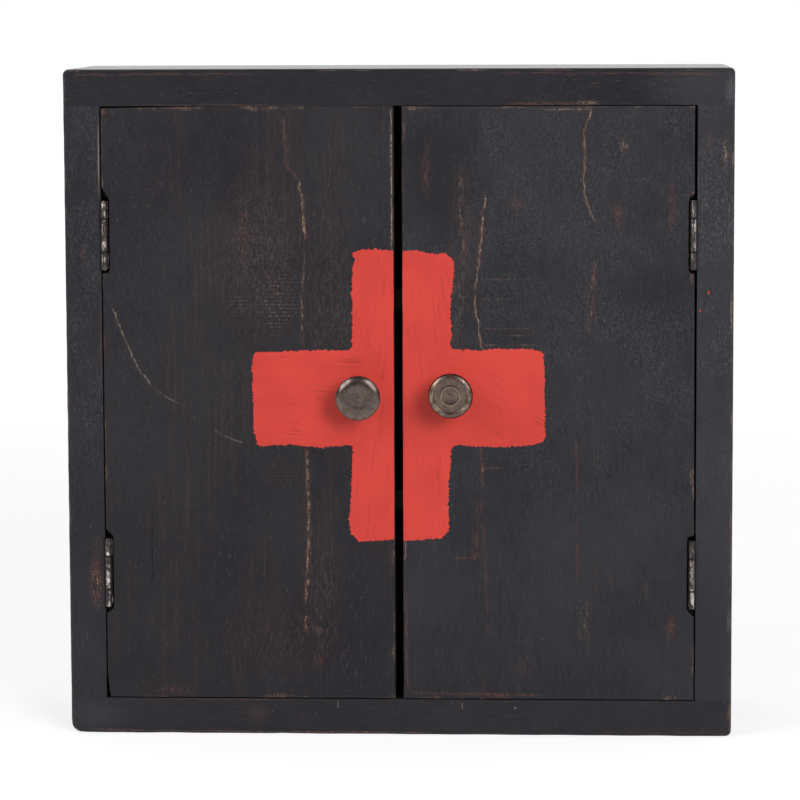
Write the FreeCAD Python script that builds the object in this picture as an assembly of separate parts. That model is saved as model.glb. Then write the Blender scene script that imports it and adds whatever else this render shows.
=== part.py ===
import FreeCAD, Part
import math
import os
from collections import namedtuple

# A wall-hung wooden medicine cabinet with two inset doors.
# Millimetres. X runs to the right, Y runs from the front to the wall, Z runs up.
# The origin is the centre of the underside of the carcass.

Vector = FreeCAD.Vector
Screw = namedtuple("Screw", "head shank length head_height")

LEFT = "left"
RIGHT = "right"
SIDES = {LEFT: -1, RIGHT: 1}
LEVELS = {"upper": 1, "lower": -1}

# Carcass
WIDTH = 400.0
HEIGHT = 402.0
DEPTH = 120.0
BOARD_THICKNESS = 22.0
EDGE_ROUND = 3.5
REAR_ROUND = 1.0
MOUTH_ROUND = 0.8

# Back panel, let into rabbets round the rear of the boards
BACK_THICKNESS = 6.0
BACK_LAP = 6.0
BACK_CLEARANCE = 0.5

# Doors, each glued up from a wide and a narrow board
DOOR_THICKNESS = 18.0
DOOR_GAP_TOP = 1.0
DOOR_GAP_BOTTOM = 1.0
DOOR_GAP_HINGE = 1.5
DOOR_GAP_MEETING = 5.0
DOOR_ROUND = 1.0
LEFT_NARROW_BOARD = 53.5
RIGHT_NARROW_BOARD = 46.0

# Butt hinges, let into the door edges only
HINGE_LENGTH = 40.0
HINGE_RISE = 102.0
BARREL_DIAMETER = 4.2
BARREL_PROUD = 0.6
MIDDLE_KNUCKLE = 20.0
KNUCKLE_GAP = 0.25
LEAF_THICKNESS = 1.1
LEAF_WIDTH = 12.5
LEAF_SCREW_INSET = 8.0
PIN_DIAMETER = 2.2
PIN_CLEARANCE = 0.05
PIN_HEAD_DIAMETER = 3.8
PIN_HEAD_HEIGHT = 0.7
NOTCH_CLEARANCE = 1.2
BARREL_CLEARANCE = 0.5
LEAF_CLEARANCE = 0.4

# Turned knobs, each held by a machine screw from inside the door
KNOB_DIAMETER = 26.5
KNOB_PROJECTION = 24.0
KNOB_RIM_HEIGHT = 6.0
KNOB_RIM_ROUND = 1.6
KNOB_FLARE = 6.5
KNOB_NECK_DIAMETER = 9.6
KNOB_ROSE_DIAMETER = 16.0
KNOB_ROSE_HEIGHT = 1.6
KNOB_COVE = 2.4
KNOB_OUTER_RING_INSET = 2.45
KNOB_INNER_RING_RADIUS = 5.5
KNOB_RING_WIDTH = 0.9
KNOB_RING_DEPTH = 0.45
LEFT_KNOB_INSET = 20.5
RIGHT_KNOB_INSET = 29.5
LEFT_KNOB_RISE = 6.5
RIGHT_KNOB_RISE = 8.0
KNOB_SCREW_DIAMETER = 4.0
KNOB_SCREW_ENGAGEMENT = 11.0
KNOB_SCREW_HEAD_DIAMETER = 7.6
KNOB_SCREW_HEAD_HEIGHT = 2.6
KNOB_WASHER_DIAMETER = 10.0
KNOB_WASHER_THICKNESS = 0.9

# Shelves on nailed cleats
SHELF_COUNT = 2
SHELF_THICKNESS = 12.0
SHELF_SETBACK = 14.0
SHELF_CLEARANCE = 0.5
CLEAT_HEIGHT = 16.0
CLEAT_WIDTH = 12.0
CLEAT_SETBACK = 6.0

# Magnetic catches under the top board, with strike plates on the doors
CATCH_INSET = 38.0
CATCH_WIDTH = 30.0
CATCH_DEPTH = 15.0
CATCH_DROP = 14.0
CATCH_EAR_LENGTH = 10.0
CATCH_EAR_THICKNESS = 3.0
CATCH_AIR_GAP = 0.2
CATCH_POCKET_CLEARANCE = 0.15
MAGNET_WIDTH = 18.0
MAGNET_HEIGHT = 4.0
MAGNET_DEPTH = 10.0
POLE_THICKNESS = 1.3
POLE_DEPTH = 12.0
POLE_PROUD = 1.5
STRIKE_WIDTH = 24.0
STRIKE_HEIGHT = 10.0
STRIKE_THICKNESS = 1.2

# Keyhole hangers, let flush into the rear edges of the side boards
HANGER_WIDTH = 11.0
HANGER_LENGTH = 46.0
HANGER_THICKNESS = 1.5
HANGER_FROM_TOP = 62.0
HANGER_SCREW_INSET = 4.5
KEYHOLE_ENTRY_DIAMETER = 7.5
KEYHOLE_SLOT_WIDTH = 4.0
KEYHOLE_DROP = 10.0
HEAD_POCKET_MARGIN = 0.6
HEAD_POCKET_DEPTH = 8.0

# Fasteners
SCREW_CLEARANCE = 0.05
SCREW_TIP = 0.25
HEAD_SINK = 0.15
SLOT_WIDTH = 0.7
SLOT_DEPTH = 0.5
LEAF_SCREW = Screw(head=4.6, shank=2.4, length=13.0, head_height=1.1)
CARCASS_SCREW = Screw(head=8.0, shank=4.0, length=52.0, head_height=2.6)
CATCH_SCREW = Screw(head=5.2, shank=2.8, length=14.0, head_height=1.2)
STRIKE_SCREW = Screw(head=4.4, shank=2.2, length=11.0, head_height=1.1)
HANGER_SCREW = Screw(head=5.0, shank=2.6, length=16.0, head_height=1.2)
BACK_NAIL = Screw(head=3.6, shank=1.6, length=17.0, head_height=0.8)
CLEAT_NAIL = Screw(head=3.4, shank=1.8, length=24.0, head_height=0.8)
CARCASS_SCREW_INSET = 25.0
CLEAT_NAIL_INSET = 10.0
SHELF_NAIL_INSET = 24.0
BACK_NAILS_ACROSS = 4
BACK_NAILS_UP = 4
BACK_NAIL_END = 12.0

# Places that several pieces share
NARROW_BOARD_WIDTH = {LEFT: LEFT_NARROW_BOARD, RIGHT: RIGHT_NARROW_BOARD}
KNOB_INSET = {LEFT: LEFT_KNOB_INSET, RIGHT: RIGHT_KNOB_INSET}
KNOB_RISE = {LEFT: LEFT_KNOB_RISE, RIGHT: RIGHT_KNOB_RISE}
FRONT_Y = -DEPTH / 2
REAR_Y = DEPTH / 2
INNER_X = WIDTH / 2 - BOARD_THICKNESS
FLOOR_Z = BOARD_THICKNESS
CEILING_Z = HEIGHT - BOARD_THICKNESS
BACK_Y = REAR_Y - BACK_THICKNESS
DOOR_BACK_Y = FRONT_Y + DOOR_THICKNESS
DOOR_HINGE_X = INNER_X - DOOR_GAP_HINGE
DOOR_MEETING_X = DOOR_GAP_MEETING / 2
DOOR_BOTTOM_Z = FLOOR_Z + DOOR_GAP_BOTTOM
DOOR_TOP_Z = CEILING_Z - DOOR_GAP_TOP
DOOR_MIDDLE_Z = (DOOR_BOTTOM_Z + DOOR_TOP_Z) / 2
BARREL_RADIUS = BARREL_DIAMETER / 2
PIN_X = INNER_X - BARREL_RADIUS
PIN_Y = FRONT_Y - BARREL_PROUD
SHELF_FRONT_Y = DOOR_BACK_Y + SHELF_SETBACK
CATCH_X = DOOR_MEETING_X + CATCH_INSET
STACK_Z = CEILING_Z - (CATCH_EAR_THICKNESS + CATCH_DROP) / 2
STRIKE_BACK_Y = DOOR_BACK_Y + STRIKE_THICKNESS
POLE_FRONT_Y = STRIKE_BACK_Y + CATCH_AIR_GAP
CATCH_FRONT_Y = POLE_FRONT_Y + POLE_PROUD
CATCH_MIDDLE_Y = CATCH_FRONT_Y + CATCH_DEPTH / 2
HANGER_X = (INNER_X + BACK_LAP + WIDTH / 2) / 2
HANGER_Z = HEIGHT - HANGER_FROM_TOP
OVERCUT = 1.0


def block(x_ends, y_ends, z_ends):
    """A box between two ends on each axis, given in either order."""
    low = Vector(min(x_ends), min(y_ends), min(z_ends))
    high = Vector(max(x_ends), max(y_ends), max(z_ends))
    size = high - low
    return Part.makeBox(size.x, size.y, size.z, low)


def rod(radius, start, end):
    """A round bar from one point to another."""
    run = end - start
    return Part.makeCylinder(radius, run.Length, start, run)


def revolved(points):
    """A solid turned about Z from (radius, height) points that start and end on the axis."""
    corners = [Vector(radius, 0, height) for radius, height in points]
    outline = Part.makePolygon(corners + corners[:1])
    return Part.Face(outline).revolve(Vector(0, 0, 0), Vector(0, 0, 1), 360)


def placed(shape, point, direction):
    """A copy of a shape made along +Z, moved to a point and turned to a direction."""
    copy = shape.copy()
    copy.Placement = FreeCAD.Placement(point, FreeCAD.Rotation(Vector(0, 0, 1), direction))
    return copy


def rounded(solid, radius, wanted):
    """Rounds the straight edges whose midpoint passes the test."""
    edges = [edge for edge in solid.Edges if wanted(edge.CenterOfMass)]
    return solid.makeFillet(radius, edges)


def near(value, target):
    """True where two places are the same."""
    return abs(value - target) < 1e-6


def spread(count, low, high):
    """Evenly spaced places from one end to the other."""
    return [low + (high - low) * step / (count - 1) for step in range(count)]


def screw_body(screw, grow=0.0):
    """A countersunk screw along +Z, its head's face at the origin. Grown, it is the hole for it."""
    shank = screw.shank / 2 + grow
    tip = screw.length * SCREW_TIP
    points = [
        (0, 0),
        (screw.head / 2 + grow, 0),
        (screw.head / 2 + grow, HEAD_SINK),
        (shank, screw.head_height + HEAD_SINK),
        (shank, screw.length - tip),
        (0, screw.length + grow),
    ]
    return revolved(points)


def slotted_screw(screw):
    """A countersunk screw with a driver slot."""
    reach = screw.head / 2 + OVERCUT
    slot = block((-reach, reach), (-SLOT_WIDTH / 2, SLOT_WIDTH / 2), (-OVERCUT, SLOT_DEPTH))
    return screw_body(screw).cut(slot)


def screw_hole(screw):
    """The hole that a sunk screw sits in, open past the surface it enters."""
    mouth = Part.makeCylinder(screw.head / 2 + SCREW_CLEARANCE, OVERCUT, Vector(0, 0, -OVERCUT))
    return screw_body(screw, SCREW_CLEARANCE).fuse(mouth)


class Fasteners:
    """Identical screws or nails: where they go, their solids and their holes."""

    def __init__(self, screw, slotted=True):
        self.body = slotted_screw(screw) if slotted else screw_body(screw)
        self.hole = screw_hole(screw)
        self.seats = []

    def drive(self, point, direction):
        """Adds one, driven in along a direction from its face at a surface, a little sunk."""
        run = Vector(direction)
        self.seats.append((point + run * HEAD_SINK, run))

    def solids(self):
        return Part.makeCompound([placed(self.body, *seat) for seat in self.seats])

    def holes(self):
        return [placed(self.hole, *seat) for seat in self.seats]


def drilled(solid, holes):
    """Cuts the holes that reach a solid."""
    near_holes = [hole for hole in holes if solid.BoundBox.intersect(hole.BoundBox)]
    return solid.cut(near_holes) if near_holes else solid


# Where every fastener goes


def carcass_screws():
    screws = Fasteners(CARCASS_SCREW)
    for side in SIDES.values():
        x = side * (WIDTH - BOARD_THICKNESS) / 2
        for y in spread(2, FRONT_Y + CARCASS_SCREW_INSET, REAR_Y - CARCASS_SCREW_INSET):
            screws.drive(Vector(x, y, HEIGHT), Vector(0, 0, -1))
            screws.drive(Vector(x, y, 0), Vector(0, 0, 1))
    return screws


def back_nails():
    nails = Fasteners(BACK_NAIL, slotted=False)
    edge = BACK_LAP / 2
    right = INNER_X + edge
    inward = Vector(0, -1, 0)
    for x in spread(BACK_NAILS_ACROSS, -INNER_X + BACK_NAIL_END, INNER_X - BACK_NAIL_END):
        for z in (FLOOR_Z - edge, CEILING_Z + edge):
            nails.drive(Vector(x, REAR_Y, z), inward)
    for z in spread(BACK_NAILS_UP, FLOOR_Z + BACK_NAIL_END, CEILING_Z - BACK_NAIL_END):
        for x in (-right, right):
            nails.drive(Vector(x, REAR_Y, z), inward)
    return nails


def shelf_levels():
    """The underside of each shelf, from the top one down."""
    room = CEILING_Z - FLOOR_Z - SHELF_COUNT * SHELF_THICKNESS
    pitch = room / (SHELF_COUNT + 1) + SHELF_THICKNESS
    return [FLOOR_Z + pitch * step - SHELF_THICKNESS for step in range(SHELF_COUNT, 0, -1)]


def cleat_depth():
    """The Y ends of a cleat."""
    return SHELF_FRONT_Y + CLEAT_SETBACK, BACK_Y - SHELF_CLEARANCE


def cleat_nails():
    nails = Fasteners(CLEAT_NAIL, slotted=False)
    front, rear = cleat_depth()
    for side in SIDES.values():
        for under in shelf_levels():
            for y in spread(2, front + CLEAT_NAIL_INSET, rear - CLEAT_NAIL_INSET):
                face = Vector(side * (INNER_X - CLEAT_WIDTH), y, under - CLEAT_HEIGHT / 2)
                nails.drive(face, Vector(side, 0, 0))
    return nails


def shelf_nails():
    nails = Fasteners(CLEAT_NAIL, slotted=False)
    front, rear = cleat_depth()
    for side in SIDES.values():
        for under in shelf_levels():
            for y in spread(2, front + SHELF_NAIL_INSET, rear - SHELF_NAIL_INSET):
                face = Vector(side * (INNER_X - CLEAT_WIDTH / 2), y, under + SHELF_THICKNESS)
                nails.drive(face, Vector(0, 0, -1))
    return nails


def hinge_heights():
    return {level: DOOR_MIDDLE_Z + way * HINGE_RISE for level, way in LEVELS.items()}


def leaf_screws(side, leaf_face_x, way):
    """The screws of one door's leaves, driven along X from the leaves' open faces."""
    screws = Fasteners(LEAF_SCREW)
    y = PIN_Y + (BARREL_RADIUS + LEAF_WIDTH) / 2
    half = HINGE_LENGTH / 2 - LEAF_SCREW_INSET
    for middle in hinge_heights().values():
        for z in spread(2, middle - half, middle + half):
            screws.drive(Vector(side * leaf_face_x, y, z), Vector(side * way, 0, 0))
    return screws


def frame_leaf_screws(side):
    return leaf_screws(side, INNER_X - LEAF_THICKNESS, 1)


def door_leaf_screws(side):
    return leaf_screws(side, INNER_X - BARREL_DIAMETER + LEAF_THICKNESS, -1)


def catch_screws():
    screws = Fasteners(CATCH_SCREW)
    half = (CATCH_WIDTH + CATCH_EAR_LENGTH) / 2
    for side in SIDES.values():
        for x in spread(2, side * CATCH_X - half, side * CATCH_X + half):
            face = Vector(x, CATCH_MIDDLE_Y, CEILING_Z - CATCH_EAR_THICKNESS)
            screws.drive(face, Vector(0, 0, 1))
    return screws


def strike_screw(side):
    screw = Fasteners(STRIKE_SCREW)
    screw.drive(Vector(side * CATCH_X, STRIKE_BACK_Y, STACK_Z), Vector(0, -1, 0))
    return screw


def hanger_screws():
    screws = Fasteners(HANGER_SCREW)
    half = HANGER_LENGTH / 2 - HANGER_SCREW_INSET
    for side in SIDES.values():
        for z in spread(2, HANGER_Z - half, HANGER_Z + half):
            screws.drive(Vector(side * HANGER_X, REAR_Y, z), Vector(0, -1, 0))
    return screws


# Carcass


def long_board(outer_z, inner_z):
    """The top or the bottom board: full width, eased outside, with a stopped rabbet at the rear."""
    ends = (-WIDTH / 2, WIDTH / 2)
    board = block(ends, (FRONT_Y, REAR_Y), (outer_z, inner_z))

    def outer_edge(point):
        at_end = near(abs(point.x), WIDTH / 2)
        at_front = near(point.y, FRONT_Y)
        at_outer = near(point.z, outer_z)
        return at_end + at_front + at_outer == 2

    board = rounded(board, EDGE_ROUND, outer_edge)
    lap_z = inner_z + math.copysign(BACK_LAP, outer_z - inner_z)
    lap_x = INNER_X + BACK_LAP
    past_z = inner_z - math.copysign(OVERCUT, outer_z - inner_z)
    rabbet = block((-lap_x, lap_x), (BACK_Y, REAR_Y + OVERCUT), (lap_z, past_z))
    return board.cut(rabbet)


def side_board(side):
    """A side board between the top and the bottom board, with a rabbet at the rear."""
    outer_x = side * WIDTH / 2
    inner_x = side * INNER_X
    board = block((outer_x, inner_x), (FRONT_Y, REAR_Y), (FLOOR_Z, CEILING_Z))
    front_edge = lambda p, x: near(p.x, x) and near(p.y, FRONT_Y)
    rear_edge = lambda p: near(p.x, outer_x) and near(p.y, REAR_Y)
    board = rounded(board, EDGE_ROUND, lambda p: front_edge(p, outer_x))
    board = rounded(board, MOUTH_ROUND, lambda p: front_edge(p, inner_x))
    board = rounded(board, REAR_ROUND, rear_edge)
    lap_x = side * (INNER_X + BACK_LAP)
    past_x = side * (INNER_X - OVERCUT)
    rabbet = block((lap_x, past_x), (BACK_Y, REAR_Y + OVERCUT), (0, HEIGHT))
    return board.cut([rabbet, hanger_recess(side), head_pocket(side)])


def back_panel():
    reach = BACK_LAP - BACK_CLEARANCE
    x_ends = (-INNER_X - reach, INNER_X + reach)
    return block(x_ends, (BACK_Y, REAR_Y), (FLOOR_Z - reach, CEILING_Z + reach))


def shelf(under):
    end = INNER_X - SHELF_CLEARANCE
    depth = (SHELF_FRONT_Y, BACK_Y - SHELF_CLEARANCE)
    board = block((-end, end), depth, (under, under + SHELF_THICKNESS))
    return rounded(board, DOOR_ROUND, lambda p: near(p.y, SHELF_FRONT_Y) and near(p.x, 0))


def cleat(side, under):
    x_ends = (side * INNER_X, side * (INNER_X - CLEAT_WIDTH))
    return block(x_ends, cleat_depth(), (under - CLEAT_HEIGHT, under))


# Keyhole hangers


def hanger_plate_blank(side, grow, y_low, y_high):
    half = HANGER_WIDTH / 2
    run = HANGER_LENGTH / 2 - half
    x = side * HANGER_X
    bar = block((x - half - grow, x + half + grow), (y_low, y_high), (HANGER_Z - run, HANGER_Z + run))
    ends = [
        rod(half + grow, Vector(x, y_low, z), Vector(x, y_high, z))
        for z in (HANGER_Z - run, HANGER_Z + run)
    ]
    return bar.fuse(ends).removeSplitter()


def hanger_recess(side):
    return hanger_plate_blank(side, SCREW_CLEARANCE, REAR_Y - HANGER_THICKNESS, REAR_Y + OVERCUT)


def head_pocket(side):
    """Room behind the plate for the head of the wall screw."""
    half = KEYHOLE_ENTRY_DIAMETER / 2 + HEAD_POCKET_MARGIN
    x = side * HANGER_X
    back = REAR_Y - HANGER_THICKNESS
    z_ends = (HANGER_Z - KEYHOLE_DROP / 2 - half, HANGER_Z + KEYHOLE_DROP / 2 + half)
    return block((x - half, x + half), (back - HEAD_POCKET_DEPTH, back + OVERCUT), z_ends)


def wall_hanger(side):
    """A flat plate with round ends and a keyhole: the screw's head enters below and drops home above."""
    front = REAR_Y - HANGER_THICKNESS
    plate = hanger_plate_blank(side, 0.0, front, REAR_Y)
    x = side * HANGER_X
    entry_z = HANGER_Z - KEYHOLE_DROP / 2
    slot_z = HANGER_Z + KEYHOLE_DROP / 2
    y_ends = (front - OVERCUT, REAR_Y + OVERCUT)
    half_slot = KEYHOLE_SLOT_WIDTH / 2
    entry = rod(KEYHOLE_ENTRY_DIAMETER / 2, Vector(x, y_ends[0], entry_z), Vector(x, y_ends[1], entry_z))
    slot = block((x - half_slot, x + half_slot), y_ends, (entry_z, slot_z))
    slot_end = rod(half_slot, Vector(x, y_ends[0], slot_z), Vector(x, y_ends[1], slot_z))
    return plate.cut([entry, slot, slot_end])


# Hinges


def knuckle_ends(middle):
    """The Z ends of the lower, middle and upper knuckle of a hinge."""
    half = HINGE_LENGTH / 2
    step = MIDDLE_KNUCKLE / 2
    clear = KNUCKLE_GAP / 2
    lower = (middle - half, middle - step - clear)
    centre = (middle - step + clear, middle + step - clear)
    upper = (middle + step + clear, middle + half)
    return lower, centre, upper


def hinge_leaf(side, middle, x_ends, own):
    """A leaf: a plate with its own knuckles rolled on, cut back from the other leaf's."""
    x = side * PIN_X
    plate_ends = [side * end for end in x_ends]
    far_y = PIN_Y + LEAF_WIDTH
    half = HINGE_LENGTH / 2
    clear_y = PIN_Y + BARREL_RADIUS + BARREL_CLEARANCE
    pieces = [block(plate_ends, (clear_y, far_y), (middle - half, middle + half))]
    for low, high in own:
        pieces.append(block(plate_ends, (PIN_Y, clear_y), (low, high)))
        pieces.append(rod(BARREL_RADIUS, Vector(x, PIN_Y, low), Vector(x, PIN_Y, high)))
    leaf = pieces[0].fuse(pieces[1:]).removeSplitter()
    reach = half + OVERCUT
    bore = rod(
        PIN_DIAMETER / 2 + PIN_CLEARANCE,
        Vector(x, PIN_Y, middle - reach),
        Vector(x, PIN_Y, middle + reach),
    )
    return leaf.cut(bore)


def frame_leaf(side, middle):
    lower, _, upper = knuckle_ends(middle)
    return hinge_leaf(side, middle, (INNER_X, INNER_X - LEAF_THICKNESS), [lower, upper])


def door_leaf(side, middle):
    _, centre, _ = knuckle_ends(middle)
    seat = INNER_X - BARREL_DIAMETER
    return hinge_leaf(side, middle, (seat, seat + LEAF_THICKNESS), [centre])


def hinge_pin(side, middle):
    """A pin with a flattened head at each end."""
    x = side * PIN_X
    half = HINGE_LENGTH / 2
    low = Vector(x, PIN_Y, middle - half)
    high = Vector(x, PIN_Y, middle + half)
    head = Vector(0, 0, PIN_HEAD_HEIGHT)
    shaft = rod(PIN_DIAMETER / 2, low, high)
    heads = [rod(PIN_HEAD_DIAMETER / 2, low - head, low), rod(PIN_HEAD_DIAMETER / 2, high, high + head)]
    return shaft.fuse(heads).removeSplitter()


def hinge_notch(side, middle):
    """What is cut from the door for a hinge: a seat for the leaf and room round the barrel."""
    half = HINGE_LENGTH / 2 + PIN_HEAD_HEIGHT + NOTCH_CLEARANCE
    z_ends = (middle - half, middle + half)
    y_ends = (FRONT_Y - OVERCUT, PIN_Y + LEAF_WIDTH + LEAF_CLEARANCE)
    x_ends = (side * (INNER_X - BARREL_DIAMETER), side * INNER_X)
    seat = block(x_ends, y_ends, z_ends)
    x = side * PIN_X
    room = rod(
        BARREL_RADIUS + BARREL_CLEARANCE,
        Vector(x, PIN_Y, z_ends[0]),
        Vector(x, PIN_Y, z_ends[1]),
    )
    return seat.fuse(room)


# Doors


def knob_axis_x(name):
    return SIDES[name] * (DOOR_MEETING_X + KNOB_INSET[name])


def knob_axis_z(name):
    return DOOR_MIDDLE_Z + KNOB_RISE[name]


def door_boards(name):
    """The wide and the narrow board of a door, drilled and notched for everything fixed to them."""
    side = SIDES[name]
    seam = DOOR_MEETING_X + NARROW_BOARD_WIDTH[name]
    heights = (DOOR_BOTTOM_Z, DOOR_TOP_Z)
    depths = (FRONT_Y, DOOR_BACK_Y)
    wide = block((side * seam, side * DOOR_HINGE_X), depths, heights)
    narrow = block((side * DOOR_MEETING_X, side * seam), depths, heights)

    def arris(edge_x):
        def wanted(point):
            at_edge = near(point.x, side * edge_x)
            at_level = near(point.z, DOOR_BOTTOM_Z) or near(point.z, DOOR_TOP_Z)
            return near(point.y, FRONT_Y) and (at_edge or at_level)

        return wanted

    wide = rounded(wide, DOOR_ROUND, arris(DOOR_HINGE_X))
    narrow = rounded(narrow, DOOR_ROUND, arris(DOOR_MEETING_X))
    knob_x = knob_axis_x(name)
    knob_hole = rod(
        KNOB_SCREW_DIAMETER / 2 + SCREW_CLEARANCE,
        Vector(knob_x, FRONT_Y - OVERCUT, knob_axis_z(name)),
        Vector(knob_x, DOOR_BACK_Y + OVERCUT, knob_axis_z(name)),
    )
    cuts = [hinge_notch(side, middle) for middle in hinge_heights().values()]
    cuts += door_leaf_screws(side).holes() + strike_screw(side).holes() + [knob_hole]
    return drilled(wide, cuts), drilled(narrow, cuts)


def knob(name):
    """A turned knob: rose, waisted neck, flared head and two rings cut in the face."""
    rim = KNOB_DIAMETER / 2
    neck = KNOB_NECK_DIAMETER / 2
    rose = KNOB_ROSE_DIAMETER / 2
    flare_z = KNOB_PROJECTION - KNOB_RIM_HEIGHT
    neck_z = flare_z - KNOB_FLARE
    cove_z = KNOB_ROSE_HEIGHT + KNOB_COVE
    at = lambda radius, height: Vector(radius, 0, height)
    # Each curve is an arc through a point a share of the way along each of its two spans.
    easy = 1 - math.sqrt(0.5)
    cove_mid = at(neck + (rose - neck) * easy, KNOB_ROSE_HEIGHT + KNOB_COVE * easy)
    flare_mid = at(neck + (rim - neck) * easy, neck_z + KNOB_FLARE * (1 - easy))
    low_turn = at(rim, flare_z)
    low_mid = at(rim - KNOB_RIM_ROUND * easy, KNOB_PROJECTION - KNOB_RIM_ROUND * easy)
    outline = [
        Part.LineSegment(at(0, 0), at(rose, 0)),
        Part.LineSegment(at(rose, 0), at(rose, KNOB_ROSE_HEIGHT)),
        Part.Arc(at(rose, KNOB_ROSE_HEIGHT), cove_mid, at(neck, cove_z)),
        Part.LineSegment(at(neck, cove_z), at(neck, neck_z)),
        Part.Arc(at(neck, neck_z), flare_mid, low_turn),
        Part.LineSegment(low_turn, at(rim, KNOB_PROJECTION - KNOB_RIM_ROUND)),
        Part.Arc(
            at(rim, KNOB_PROJECTION - KNOB_RIM_ROUND),
            low_mid,
            at(rim - KNOB_RIM_ROUND, KNOB_PROJECTION),
        ),
        Part.LineSegment(at(rim - KNOB_RIM_ROUND, KNOB_PROJECTION), at(0, KNOB_PROJECTION)),
        Part.LineSegment(at(0, KNOB_PROJECTION), at(0, 0)),
    ]
    wire = Part.Wire([curve.toShape() for curve in outline])
    body = Part.Face(wire).revolve(Vector(0, 0, 0), Vector(0, 0, 1), 360)
    rings = []
    low = Vector(0, 0, KNOB_PROJECTION - KNOB_RING_DEPTH)
    for radius in (rim - KNOB_OUTER_RING_INSET, KNOB_INNER_RING_RADIUS):
        outer = Part.makeCylinder(radius + KNOB_RING_WIDTH / 2, OVERCUT, low)
        inner = Part.makeCylinder(radius - KNOB_RING_WIDTH / 2, OVERCUT, low)
        rings.append(outer.cut(inner))
    depth = KNOB_SCREW_ENGAGEMENT + SCREW_CLEARANCE
    bore_radius = KNOB_SCREW_DIAMETER / 2 + SCREW_CLEARANCE
    bore = Part.makeCylinder(bore_radius, depth + OVERCUT, Vector(0, 0, -OVERCUT))
    body = body.cut(rings + [bore])
    return placed(body, Vector(knob_axis_x(name), FRONT_Y, knob_axis_z(name)), Vector(0, -1, 0))


def knob_washer(name):
    x = knob_axis_x(name)
    start = Vector(x, DOOR_BACK_Y, knob_axis_z(name))
    end = start + Vector(0, KNOB_WASHER_THICKNESS, 0)
    past = Vector(0, OVERCUT, 0)
    disc = rod(KNOB_WASHER_DIAMETER / 2, start, end)
    return disc.cut(rod(KNOB_SCREW_DIAMETER / 2 + SCREW_CLEARANCE, start - past, end + past))


def knob_screw(name):
    """A pan-head machine screw through the washer and the door into the knob."""
    x = knob_axis_x(name)
    under = Vector(x, DOOR_BACK_Y + KNOB_WASHER_THICKNESS, knob_axis_z(name))
    top = under + Vector(0, KNOB_SCREW_HEAD_HEIGHT, 0)
    tip = Vector(x, FRONT_Y - KNOB_SCREW_ENGAGEMENT, knob_axis_z(name))
    head = rod(KNOB_SCREW_HEAD_DIAMETER / 2, under, top)
    edge = KNOB_SCREW_HEAD_HEIGHT / 2
    head = rounded(head, edge, lambda p: near(p.y, top.y))
    screw = head.fuse(rod(KNOB_SCREW_DIAMETER / 2, tip, under)).removeSplitter()
    reach = KNOB_SCREW_HEAD_DIAMETER / 2 + OVERCUT
    slot = block(
        (x - reach, x + reach),
        (top.y - SLOT_DEPTH, top.y + OVERCUT),
        (knob_axis_z(name) - SLOT_WIDTH / 2, knob_axis_z(name) + SLOT_WIDTH / 2),
    )
    return screw.cut(slot)


# Catches


def catch_stack_ends():
    """The Z ends of the lower pole, the magnet and the upper pole."""
    half = MAGNET_HEIGHT / 2
    lower = (STACK_Z - half - POLE_THICKNESS, STACK_Z - half)
    magnet = (STACK_Z - half, STACK_Z + half)
    upper = (STACK_Z + half, STACK_Z + half + POLE_THICKNESS)
    return lower, magnet, upper


def stack_x(side):
    return (side * CATCH_X - MAGNET_WIDTH / 2, side * CATCH_X + MAGNET_WIDTH / 2)


def catch_housing(side):
    """A moulded block with an ear at each end and a pocket for the magnet and its poles."""
    x = side * CATCH_X
    rear_y = CATCH_FRONT_Y + CATCH_DEPTH
    body = block(
        (x - CATCH_WIDTH / 2, x + CATCH_WIDTH / 2),
        (CATCH_FRONT_Y, rear_y),
        (CEILING_Z - CATCH_DROP, CEILING_Z),
    )
    body = rounded(body, DOOR_ROUND, lambda p: near(p.z, CEILING_Z - CATCH_DROP))
    ear_end = CATCH_WIDTH / 2 + CATCH_EAR_LENGTH
    ears = block(
        (x - ear_end, x + ear_end),
        (CATCH_FRONT_Y, rear_y),
        (CEILING_Z - CATCH_EAR_THICKNESS, CEILING_Z),
    )
    lower, _, upper = catch_stack_ends()
    clear = CATCH_POCKET_CLEARANCE
    left, right = stack_x(side)
    pocket = block(
        (left - clear, right + clear),
        (CATCH_FRONT_Y - OVERCUT, POLE_FRONT_Y + POLE_DEPTH),
        (lower[0] - clear, upper[1] + clear),
    )
    return body.fuse(ears).removeSplitter().cut(pocket)


def catch_magnet(side):
    rear = POLE_FRONT_Y + POLE_DEPTH
    _, magnet, _ = catch_stack_ends()
    return block(stack_x(side), (rear - MAGNET_DEPTH, rear), magnet)


def catch_poles(side):
    lower, _, upper = catch_stack_ends()
    y_ends = (POLE_FRONT_Y, POLE_FRONT_Y + POLE_DEPTH)
    return Part.makeCompound([block(stack_x(side), y_ends, ends) for ends in (lower, upper)])


def strike_plate(side):
    x = side * CATCH_X
    plate = block(
        (x - STRIKE_WIDTH / 2, x + STRIKE_WIDTH / 2),
        (DOOR_BACK_Y, STRIKE_BACK_Y),
        (STACK_Z - STRIKE_HEIGHT / 2, STACK_Z + STRIKE_HEIGHT / 2),
    )
    return drilled(plate, strike_screw(side).holes())


# The whole cabinet


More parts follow.
